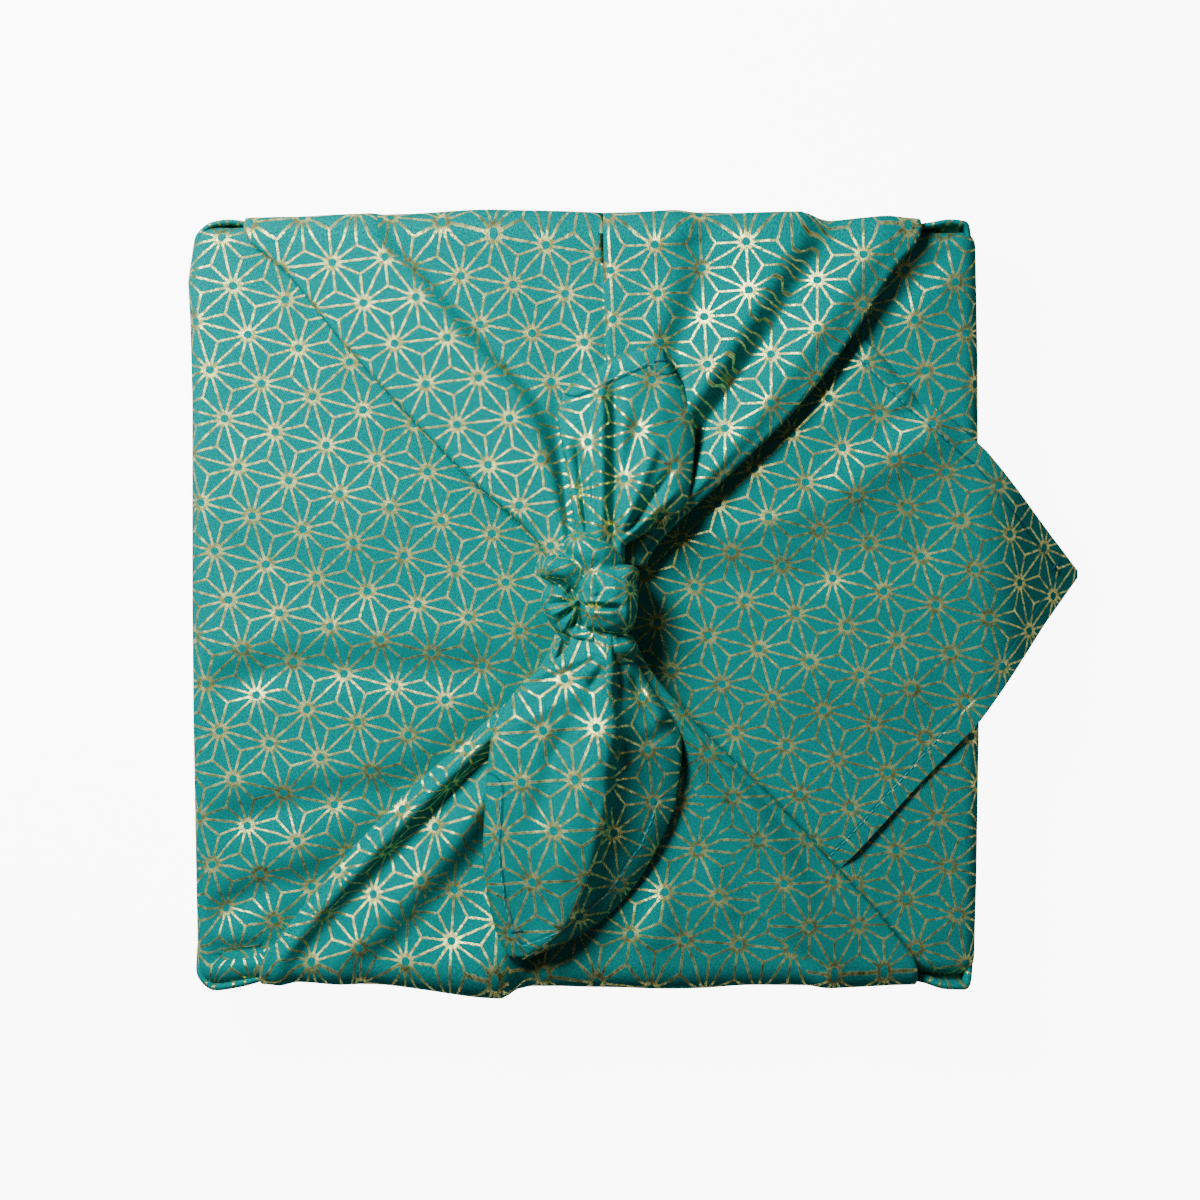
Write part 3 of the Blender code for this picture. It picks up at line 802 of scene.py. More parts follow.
@dataclass
class Wrap:
    """East flap, base and west flap: one spiral of cloth round the box, its sides turned in at the edges."""

    strips: Sequence[Strip]
    width: float = 276.0
    height: float = 38.0
    skin: float = 0.6  # mid-sheet lies this much inside the outer sizes
    base: float = 0.35  # height of mid-sheet under the box
    hidden_steps: int = 8  # columns of the east flap that the west one hides
    east_steps: int = 34  # columns of its seen part
    wall_steps: int = 7
    base_steps: int = 12
    flat_rows: int = 38  # rows from the middle to where a side is turned in
    turn_steps: int = 5  # rows round that edge, and again over the lap
    edge_share: float = 0.96  # share of the half width at that edge
    wall_north: float = 131.5
    wall_south: float = -132.5
    edge_radius: float = 5.0
    foot_radius: float = 4.0
    layer_drop: float = 1.8  # the east flap lies this much under the west one
    lap: float = 30.0
    easing: float = 12.0  # run over which the turned-in side eases into the hem
    foot_lap: float = 6.0
    inner_end: float = -128.0  # where the hidden east flap is folded back
    seen_from: float = 60.0  # where its closer columns start
    hem_start: float = 53.0
    tip_x: float = 175.0
    tip_angle: float = 42.0
    tip_bend: float = 16.0
    tip_step: float = 2.2
    print_margin: float = 45.0  # run beside each wall over which the side's own print holds
    # (east, north hem, south hem) as seen from above
    hems: Sequence[Triple] = (
        (53, 131, -132), (96, 93.5, -88), (117, 72, -65), (138, 54, -41.5), (162, 25.5, -8), (175, 10.5, 8),
    )  # fmt: skip
    west_repeat: Repeat = WEST_PRINT
    east_north_repeat: Repeat = Repeat((112.4, 98.3), (17.9, -15.2), (18.2, -79))
    east_south_repeat: Repeat = Repeat((105.9, -87.9), (18.6, -17.3), (17.4, -78.5))
    flap_ridges: Sequence[Ridge] = ridges(
        (-131, -31, -104, -23, -1.8, 6), (-108, -23, -23, -26, -1.7, 7), (-131, -20, -100, -12, 0.7, 8),
        (-104, -12, -30, -14, 0.7, 9), (-131, -79, -98, -71, -1.8, 5.5), (-102, -71, -42, -62, -1.6, 6),
        (-131, -68, -60, -56, 0.7, 7), (-134, -112, -112, -101, -2.3, 4.5),
        (-116, -101, -80, -95, -2.0, 5), (-134, -102, -90, -87, 0.8, 6),
        (-137, -124.4, -109, -122.4, -5.5, 1.8), (-132, -128.5, -112, -127, 1.6, 2.0),
        (-125, 60, -60, 20, 0.6, 12), (-128, 20, -70, -2, -0.7, 9), (82, 33, 129, 63, 2.3, 8.5),
        (100, 58, 124, 72, -1.1, 6), (70, 10, 128, 20, -1.0, 12), (60, -22, 125, -34, 0.9, 12),
        (40, 19, 84, 33, 0.9, 3.5), (42, 8, 92, 8, -0.9, 5), (104, 88, 113, 76, -1.2, 2.6),
        (112, 76, 121, 68, -1.8, 2.2), (106, 66, 116, 74, 1.4, 3.0),
    )
    east_ridges: Sequence[Ridge] = ridges(
        (135, 129, 104, 101, -1.6, 4.5), (137, 119, 112, 98, 1.0, 5), (135, -112, 108, -122, 0.7, 5),
    )
    relief: float = 1.35  # how strongly the flap's ridges show
    pressed: float = 2.0  # how far the tied strips press the flap down
    pressed_margins: Pair = (13.0, 11.0)  # and how far past the north and the south strip
    smoothed: float = 0.85  # how much of its relief the flap loses under the strips
    smoothed_margins: Pair = (9.0, 9.0)
    # where the walls stand: (north, east) of the west and east walls' upper part
    west_line: Sequence[Pair] = (
        (-126, -135.6), (-98, -136.2), (-42, -137.2), (0, -137.6), (70, -137.6), (98, -138.3), (112, -139.1),
        (130, -136.4),
    )  # fmt: skip
    east_line: Sequence[Pair] = ((-126, 137.2), (-98, 138), (-42, 138.9), (84, 138.4), (128, 137.6))
    ears: Sequence[Ear] = (
        Ear((-130, -132), -2.2, 13, Flap.WEST),
        Ear((-124, 131), -0.9, 8, Flap.WEST),
        Ear((130, -130), -0.6, 9, Flap.EAST),
        Ear((127, 129), -0.7, 8, Flap.EAST),
    )

    @property
    def half(self) -> float:
        """Half the width at mid-sheet."""
        return (self.width - 2 * self.skin) / 2

    @property
    def top(self) -> float:
        """Height of the west flap at mid-sheet."""
        return self.height - self.skin

    def section(self, inset: float) -> tuple[Grid, Grid]:
        """Spiral seen from the south, drawn in by inset.

        Args:
            inset: How far the spiral is drawn in.

        Returns:
            Points as (east, height), and the layer: 0 on the east flap and wall, 1 on the west ones.
        """
        side, top, foot = self.half, self.top, self.base
        inner = top - self.layer_drop
        corners = [(self.inner_end, inner), (side, inner), (side, foot)]
        corners += [(-side, foot), (-side, top), (side, top)]
        rounded = min(inset, self.edge_radius)
        over = (self.foot_lap - self.edge_radius) / (self.lap - self.edge_radius)
        lift = rounded + (inset - rounded) * over
        moves = [(0, -inset), (-inset, -inset), (-inset, lift), (inset, lift), (inset, -inset), (0, -inset)]
        moved = [(x + dx, z + dz) for (x, z), (dx, dz) in zip(corners, moves)]
        radii = [self.edge_radius, self.foot_radius, self.foot_radius, self.edge_radius]
        radii = [max(r - inset, 0.8) for r in radii]
        hidden = (self.seen_from - self.inner_end) / (side - self.edge_radius - self.inner_end)
        seen = hidden + even(self.east_steps) * (1 - hidden)
        east_flap = np.concatenate([even(self.hidden_steps) * hidden, seen])
        wall, base = even(self.wall_steps), even(self.base_steps)
        points = rounded_path(moved, radii, [east_flap, wall, base, wall, self.west_stations()])
        base_start = len(east_flap) + ARC_STEPS + self.wall_steps + ARC_STEPS
        layer = np.clip((np.arange(len(points)) - base_start) / self.base_steps, 0, 1)
        return points, layer

    def west_stations(self) -> Grid:
        """Spread the west flap's columns, closer where its edge is seen.

        Returns:
            The shares of the flap's run at which the columns lie.
        """
        start, end = -self.half + self.edge_radius, self.half
        east = np.concatenate([
            np.linspace(start, self.hem_start - 6, 46)[1:],
            [self.hem_start + 3],
            np.linspace(self.hem_start + 3, 84, 9)[1:],
            np.linspace(84, end, 29)[1:],
        ])
        return (east - start) / (end - start)

    def tip_section(self) -> list[Pair]:
        """Bend the west flap's tip down past the box's edge.

        Returns:
            The overhanging points as (east, height).
        """
        x, z, step, run = self.half, self.top, self.tip_step, 0.0
        tip = []
        while x < self.tip_x - 0.01:
            angle = math.radians(self.tip_angle) * min(1.0, (run + step) / self.tip_bend)
            share = min(1.0, (self.tip_x - x) / (step * math.cos(angle)))
            x, z = x + share * step * math.cos(angle), z - share * step * math.sin(angle)
            run += step
            tip.append((x, z))
        return tip

    def hem_lines(self, x: Grid | float) -> tuple[Grid, Grid]:
        """South and north hem at x, as seen from above."""
        east, north, south = zip(*self.hems)
        return np.interp(x, east, south), np.interp(x, east, north)

    def rows(self) -> list[tuple[int, float, float, float]]:
        """Spread the rows across the wrap.

        Returns:
            For each row its side, and its share of the half width, of the rounding and of the lap.
        """
        edge, steps = self.edge_share, range(1, self.turn_steps + 1)
        flat = [(share, 0.0, 0.0) for share in np.linspace(0, 0.95, self.flat_rows)]
        turned = [(edge, 0.0, 0.0)] + [(edge + 0.004 * k, k / self.turn_steps, 0.0) for k in steps]
        turned += [(0.98 + 0.02 * k / self.turn_steps, 1.0, k / self.turn_steps) for k in steps]
        return [(-1, *row) for row in reversed(flat[1:] + turned)] + [(1, *row) for row in flat + turned]

    def patch(self) -> Patch:
        """Lay the whole spiral.

        Returns:
            Its grid, from south to north and from the east flap to the tip, with its print and hem distances.
        """
        outer, layers = self.section(0.0)
        tip = self.tip_section()
        on_flap = (layers == 1) & (outer[:, 1] > self.height / 2)
        rows = []
        for sign, share, turn, lapped in self.rows():
            angle = turn * math.pi / 2
            inset = self.edge_radius * (1 - math.cos(angle)) + lapped * (self.lap - self.edge_radius)
            drawn_in, _ = self.section(inset)
            wall = self.wall_north if sign > 0 else -self.wall_south
            row = []
            for (x0, z0), (x, z), layer, flap in zip(outer, drawn_in, layers, on_flap):
                if flap and x0 > self.hem_start:
                    south, north = self.hem_lines(x0)
                    row.append((x0, (south + north) / 2 + sign * share * (north - south) / 2, z0))
                    continue
                side = wall - self.layer_drop * (1 - layer)
                flat = share / self.edge_share * (side - self.edge_radius)
                y = side - self.edge_radius * (1 - math.sin(angle)) if turn else flat
                whole = self.hem_start - x0
                if flap and whole < self.lap:
                    bend = angle * np.clip(whole / self.easing, 0.35, 1)
                    beyond = lapped * max(0.8, whole - self.edge_radius - 1)
                    if turn:
                        y = side + 0.5 - self.edge_radius * (1 - math.sin(bend)) + beyond * math.cos(bend)
                    x, z = x0, z0 - self.edge_radius * (1 - math.cos(bend)) - beyond * math.sin(bend)
                row.append((x, sign * y, z))
            for x, z in tip:
                south, north = self.hem_lines(x)
                row.append((x, (south + north) / 2 + sign * share * (north - south) / 2, z))
            rows.append(row)
        points = np.array(rows)
        flap_columns = np.concatenate([on_flap, np.ones(len(tip), bool)])
        full_run = np.concatenate([outer, np.array(tip)])
        self.add_relief(points, flap_columns, len(outer))
        counts = self.star_counts(points, full_run)
        return Patch.of(points, counts, self.hem_distance(points, flap_columns))

    def flap_relief(self, x: Grid, y: Grid) -> Grid:
        """Unevenness of the west flap.

        Args:
            x: East of each point.
            y: North of each point.

        Returns:
            How far the flap stands over or under its level there.
        """
        lift = 0.28 * rumple(x, y, 62, 5) + 0.16 * rumple(x, y, 27, 6)
        for ridge in self.flap_ridges:
            lift = lift + self.relief * ridge.lift(x, y)
        covered = self.under_strips(x, y, self.smoothed_margins)
        near_west = smooth_step((x + self.width / 2 - 1) / 9)
        sunk = self.pressed * self.under_strips(x, y, self.pressed_margins)
        return (lift * (1 - self.smoothed * covered) - sunk) * near_west

    def under_strips(self, x: Grid, y: Grid, margins: Pair) -> Grid:
        """How much points lie under either strip, with a margin for the north and the south one."""
        return np.maximum(*(strip.covers(x, y, margin) for strip, margin in zip(self.strips, margins)))

    def east_relief(self, x: Grid, y: Grid) -> Grid:
        """Unevenness of the east flap, which sinks a little where the west flap hides it.

        Args:
            x: East of each point.
            y: North of each point.

        Returns:
            How far the flap stands over or under its level there.
        """
        lift = 0.22 * rumple(x, y, 45, 8)
        for ridge in self.east_ridges:
            lift = lift + ridge.lift(x, y)
        south, north = self.hem_lines(np.maximum(x, self.hem_start))
        hidden = smooth_step(np.minimum(north - y, y - south) / 12 + 0.1)
        near_edge = smooth_step((self.width / 2 - 4 - x) / 10)
        deeper = 0.7 + 1.0 * smooth_step((92 - x) / 40)
        return lift * (1 - hidden) * near_edge - deeper * hidden * near_edge

    def add_relief(self, points: Grid, flap: Grid, spiral_columns: int) -> None:
        """Raise and sink the flaps' points.

        Args:
            points: The grid, changed in place.
            flap: Whether each column lies on the west flap.
            spiral_columns: Number of columns before the tip's.
        """
        x, y, z = points[..., 0], points[..., 1], points[..., 2]
        inside = smooth_step(np.minimum(self.wall_north - 4 - y, y - self.wall_south - 4) / 8)
        west = flap[None, :] & (z > self.height / 2)
        points[..., 2] += np.where(west, self.flap_relief(x, y) * inside, 0)
        columns = np.arange(points.shape[1]) < self.hidden_steps + self.east_steps
        points[..., 2] += np.where(columns[None, :], self.east_relief(x, y) * inside, 0)
        half = self.half
        raised = smooth_step(z / 14)
        near_west, near_east = smooth_step((-x - half + 24) / 24), smooth_step((x - half + 24) / 24)
        west_line, east_line = (np.interp(y, *zip(*line)) for line in (self.west_line, self.east_line))
        hanging = (np.arange(points.shape[1]) >= spiral_columns)[None, :]
        shift = (west_line + half) * near_west + (east_line - half) * near_east
        new_y = y.copy()
        for ear in self.ears:
            layer = flap if ear.flap is Flap.WEST else ~flap
            new_y += np.where(layer[None, :], ear.push(x, y, z), 0)
        points[..., 0] += np.where(hanging, (self.east_line[2][1] - half) * np.ones_like(x), shift * raised)
        points[..., 1] = new_y

    def star_counts(self, points: Grid, section: Grid) -> Grid:
        """Counts of stars over the whole spiral.

        Args:
            points: Grid of the spiral.
            section: Its unturned section as (east, height).

        Returns:
            The counts, running on from the east flap under the base to the west flap.
        """
        run = np.concatenate([[0.0], np.cumsum(np.linalg.norm(np.diff(section, axis=0), axis=1))])
        east_edge = int(np.flatnonzero(section[:, 1] < self.height - 8)[0])
        west_edge = int(np.flatnonzero((run > run[east_edge] + 200) & (section[:, 1] > self.height - 4))[0])
        from_east = section[east_edge, 0] + run - run[east_edge] + 3.0
        from_west = section[west_edge, 0] + run - run[west_edge]
        across = np.linalg.norm(np.diff(points, axis=0), axis=2)
        middle = len(points) // 2
        y = np.concatenate([np.zeros((1, points.shape[1])), np.cumsum(across, axis=0)])
        y = y - y[middle] + points[middle, :, 1]
        x_east = np.broadcast_to(from_east[None, :], y.shape)
        x_west = np.broadcast_to(from_west[None, :], y.shape)
        north, south = self.east_north_repeat.count(x_east, y), self.east_south_repeat.count(x_east, y)
        probe = middle, east_edge
        south = south + np.round(north[probe] - south[probe])
        mix = smooth_step((58 - y) / 115)[..., None]
        east = north * (1 - mix) + south * mix
        west = self.west_repeat.count(x_west, y)
        probe = middle, (east_edge + west_edge) // 2
        east = east + np.round(west[probe] - east[probe])
        between = run[west_edge] - run[east_edge] - 2 * self.print_margin
        share = smooth_step((run - run[east_edge] - self.print_margin) / between)[None, :, None]
        return east * (1 - share) + west * share

    def hem_distance(self, points: Grid, flap: Grid) -> Grid:
        """Measure how far the cloth lies from its hems.

        Args:
            points: Grid of the spiral.
            flap: Whether each column lies on the west flap.

        Returns:
            Distance of the west flap's points from its two hems, and NO_HEM elsewhere.
        """
        x, y, z = points[..., 0], points[..., 1], points[..., 2]
        away = np.full(x.shape, NO_HEM)
        stretch = 1 / math.cos(math.radians(self.tip_angle))
        for side in (1, 2):
            for a, b in zip(self.hems, self.hems[1:]):
                hanging = stretch if a[0] >= self.width / 2 else 1.0
                start, end = (a[0] * hanging, a[side]), (b[0] * hanging, b[side])
                distance, _ = away_from_line(x * hanging, y, start, end)
                away = np.minimum(away, distance)
        west = flap[None, :] & ((z > self.height / 3) | (x > self.width / 2)) & (x > self.hem_start - 10)
        return np.where(west, away, NO_HEM)


# Free ends and knot


@dataclass
class FreeEnd:
    """A corner of the cloth that stands out of the knot like a leaf."""

    # (west edge: east, north; east edge: east, north; height), from inside the knot to the corner
    outline: Sequence[tuple[float, float, float, float, float]]
    creases: dict[str, tuple[Sequence[float], Sequence[float]]]
    repeats: Sequence[tuple[float, Repeat]]  # print from this share of the width on
    hem: Sequence[Pair]  # the sewn edge as seen from above
    folds: Sequence[Ridge]
    arch: float = 2.0
    curl: float = 2.4
    columns: int = 56
    rows: int = 76

    def patch(self) -> Patch:
        """Lay the leaf from the knot to its corner.

        Returns:
            Its grid with its print and hem distances.
        """
        of = [np.array(column, float) for column in zip(*self.outline)]
        run = np.abs(of[1] - of[1][0])
        at = np.linspace(0, run[-1], self.rows)
        share_at = np.array([0, 0.45, 1]) * run[-1]
        creases = self.creases.values()
        lines = [[smooth_curve(share_at, values, at) for values in crease] for crease in creases]
        x0, y0, x1, y1, z = (smooth_curve(run, column, at) for column in of)
        turn = np.linspace(0, math.pi, self.columns)
        shares = 0.35 * (1 - np.cos(turn)) / 2 + 0.65 * np.linspace(0, 1, self.columns)
        grid = np.zeros((self.rows, self.columns, 3))
        for r in range(self.rows):
            places = np.array([0.0, *(line[0][r] for line in lines)])
            heights = np.array([0.0, *(line[1][r] for line in lines)])
            size = min(1.0, (x1[r] - x0[r]) / 24)
            low = np.minimum(shares, 1 - shares)
            drop = self.curl * size * np.clip(1 - low / 0.1, 0, 1) ** 1.6
            level = self.arch * size * (1 - (2 * shares - 1) ** 2)
            folds = smooth_curve(places, heights, shares)
            grid[r, :, 0] = x0[r] + (x1[r] - x0[r]) * shares
            grid[r, :, 1] = y0[r] + (y1[r] - y0[r]) * shares
            grid[r, :, 2] = z[r] + level - drop + size * folds
        for fold in self.folds:
            grid[..., 2] += fold.lift(grid[..., 0], grid[..., 1])
        grid[..., 2] += 0.16 * rumple(grid[..., 0], grid[..., 1], 9, 17)
        return Patch(grid, self.printed(grid, shares), self.hem_distance(grid))

    def seam(self, inset: float, proud: float) -> Grid:
        """Line of the hem's stitches.

        Args:
            inset: Distance from the sewn edge.
            proud: How far above mid-sheet it lies.

        Returns:
            The line's points.
        """
        sheet = self.patch()
        near = sheet.points[np.abs(sheet.hem - inset) < 0.45]
        order = np.zeros(len(near))
        best = np.full(len(near), np.inf)
        before = 0.0
        for start, end in zip(self.hem, self.hem[1:]):
            away, along = away_from_line(near[:, 0], near[:, 1], start, end)
            length = math.dist(start, end)
            order = np.where(away < best, before + along * length, order)
            best = np.minimum(away, best)
            before += length
        steps = np.arange(2.0, before - 1.0, 2.0)
        groups = (near[np.abs(order - step) < 1.6] for step in steps)
        return np.array([group.mean(axis=0) for group in groups if len(group)]) + np.array([0, 0, proud])

    def printed(self, grid: Grid, shares: Grid) -> Grid:
        """Print at the face corners, each share of the width with its own repeat.

        Args:
            grid: The leaf's points.
            shares: Share of the width at each column.

        Returns:
            Places on the flat cloth.
        """
        result = np.zeros((self.rows - 1, self.columns - 1, 4, 2))
        firsts = [int(np.searchsorted(shares, share)) for share, _ in self.repeats]
        lasts = firsts[1:] + [self.columns - 1]
        for (_, repeat), first, last in zip(self.repeats, firsts, lasts):
            place = cloth_place(repeat.count(grid[..., 0], grid[..., 1]))
            result[:, first:last] = corners_of(place)[:, first:last]
        return result

    def hem_distance(self, grid: Grid) -> Grid:
        """Distance from the hemmed edge, as seen from above."""
        return np.minimum(away_from_path(grid[..., 0], grid[..., 1], self.hem), NO_HEM)


NORTH_END = FreeEnd(
    outline=(
        (-2, 12, 14, 12, 55), (-1, 18.2, 14, 18.2, 57), (-2.5, 25, 19, 22, 56.5),
        (-4.2, 33, 28, 26.5, 55.5), (-5.3, 43, 35, 33, 53.5), (-7.4, 54, 37.5, 44, 51.5),
        (-9.1, 64, 38.4, 56, 49.5), (-6.3, 72.5, 37.6, 67, 47.8), (3.5, 79.8, 33, 77, 47.4),
        (10.9, 84.2, 29, 83, 47.4), (22.8, 88.2, 27.5, 87, 47.6),
    ),
    creases={
        "middle": ((0.5, 0.45, 0.5), (1.6, 2.2, 0.4)),
        "east edge": ((1, 1, 1), (-1.5, -0.6, 0)),
    },
    repeats=((0.0, Repeat((23.6, 76.3), (17.9, 14.5), (17.9, -45.5))),),
    hem=((-3, 76.5), (4.8, 79.9), (21.7, 87.2), (24.4, 88.3), (28.4, 84)),
    folds=ridges(
        (1.6, 20, -2.8, 56, -3.4, 1.3), (-2.8, 24, -7.2, 62, 1.4, 1.4), (6.0, 20, 6.2, 76, 3.0, 1.9),
        (10.2, 16, 10.4, 78, -3.6, 2.0), (12.4, 22, 26, 56, 2.4, 2.0), (14.4, 22, 31, 46, -2.6, 1.4),
        (12.2, 19, 33, 38.5, 2.2, 1.3), (13.4, 17.6, 30, 31, -2.2, 1.1), (11.6, 36, 20, 66, -2.2, 3.0),
        (4, 24, 3.0, 44, -1.6, 0.9), (8, 60, 2, 76, 0.9, 3.5), (24, 60, 32, 74, 0.8, 4),
    ),
)

SOUTH_END = FreeEnd(
    outline=(
        (-4, -11, 14, -11, 55), (-5.6, -16.8, 14.7, -17.5, 57), (-15, -23.8, 19.6, -24.4, 56),
        (-23.5, -31.5, 24.2, -32, 54.5), (-31.9, -47.3, 34, -49, 54.5),
        (-33.6, -66.5, 32.6, -66.5, 54), (-34.7, -87.5, 24.5, -87.5, 52.5),
        (-32.6, -105, 12.6, -105, 50), (-29.4, -117.3, -2.5, -117.3, 47.5),
        (-25.6, -124.3, -19.6, -124.3, 46),
    ),
    creases={
        "west rise": ((0.3, 0.3, 0.3), (2.0, 2.4, 1.2)),
        "leaf crest": ((0.76, 0.6, 0.68), (4.6, 8.5, 4.0)),
        "leaf foot": ((0.82, 0.68, 0.84), (-1.0, -0.6, -0.6)),
        "lobe crest": ((0.92, 0.84, 0.93), (0.8, -5.6, -2.4)),
        "east edge": ((1, 1, 1), (-0.6, -7.4, -2.6)),
    },
    repeats=(
        (0.0, Repeat((-10.3, -79.5), (18.4, 4), (19.9, -56.5))),
        (0.66, Repeat((12.1, -98.7), (17.5, -26), (18.3, -84))),
    ),
    hem=(
        (-33.6, -66), (-34.7, -87.5), (-32.6, -105), (-29, -118), (-25.4, -125), (-19.4, -125), (-2.5, -118),
        (12.6, -105), (24.5, -87.5), (30, -74),
    ),
    folds=ridges(
        (6, -20, -9, -26, -2.2, 1.0), (-8, -25.6, -21, -30, -1.4, 1.0), (7, -23, 1.2, -31, -2.8, 1.6),
        (0, -30, -24, -44, 1.0, 2.2), (2, -34, -14, -58, -1.2, 2.4), (11.5, -34, -14, -104, 1.3, 5),
        (-5, -43, -18, -80, -1.5, 4), (16.5, -26, 24, -44, -1.8, 1.6), (19, -27, 29, -44, 1.2, 1.8),
        (14.6, -22, 14.8, -50, 1.4, 1.6), (-30, -60, -31, -100, -0.6, 2), (22, -30, 28, -43, 3.4, 4.6),
        (12, -50, 15, -60, -1.8, 1.8), (9.5, -62, 4, -82, 1.2, 1.6), (18.5, -50, 30, -46, -1.4, 1.6),
    ),
)


@dataclass(frozen=True)
class Roll:
    """A rounded fold of the knot."""

    centre: Triple
    half: Triple  # along, across and up
    bearing: float = 0.0
    printed: Pair = (0.0, -15.0)  # how far its print is moved along, and its rows' bearing
    boxy: float = 2.2  # 2 is an ellipsoid, more is squarer

    def reach(self, origin: Grid, ways: Grid, steps: Grid) -> Grid:
        """How far the fold reaches from a point.

        Args:
            origin: The point.
            ways: Unit directions.
            steps: Distances that are tried.

        Returns:
            The furthest distance in each direction that is inside the fold, or 0.
        """
        cosine, sine = math.cos(math.radians(self.bearing)), math.sin(math.radians(self.bearing))
        axes = np.array([[cosine, sine, 0], [-sine, cosine, 0], [0, 0, 1]])
        start = axes @ (origin - np.array(self.centre)) / np.array(self.half)
        way = ways @ axes.T / np.array(self.half)
        inside = np.sum(np.abs(start + steps[:, None, None] * way[None]) ** self.boxy, axis=2)
        found = inside < 1
        last = len(steps) - 1 - np.argmax(found[::-1], axis=0)
        last = np.where(found.any(axis=0), np.minimum(last, len(steps) - 2), 0)
        column = np.arange(len(ways))
        low, high = inside[last, column], inside[np.minimum(last + 1, len(steps) - 1), column]
        share = np.clip((1 - low) / np.maximum(high - low, 1e-9), 0, 1)
        return np.where(found.any(axis=0), steps[last] + share * (steps[1] - steps[0]), 0.0)

    def place(self, points: Grid) -> Grid:
        """Print of the fold, with its sides laid flat round its top.

        Args:
            points: Points on the fold.

        Returns:
            Places on the flat cloth.
        """
        x, y = points[..., 0] - self.centre[0], points[..., 1] - self.centre[1]
        fall = self.centre[2] + self.half[2] - points[..., 2]
        out = np.maximum(np.hypot(x, y), 1e-6)
        stretch = 1 + 0.35 * np.clip(fall, 0, 14) / out.clip(6)
        bearing = self.printed[1]
        repeat = Repeat((self.printed[0], self.printed[0] / 2), (17.0, bearing), (17.0, bearing - 60))
        return cloth_place(repeat.count(x * stretch, y * stretch))


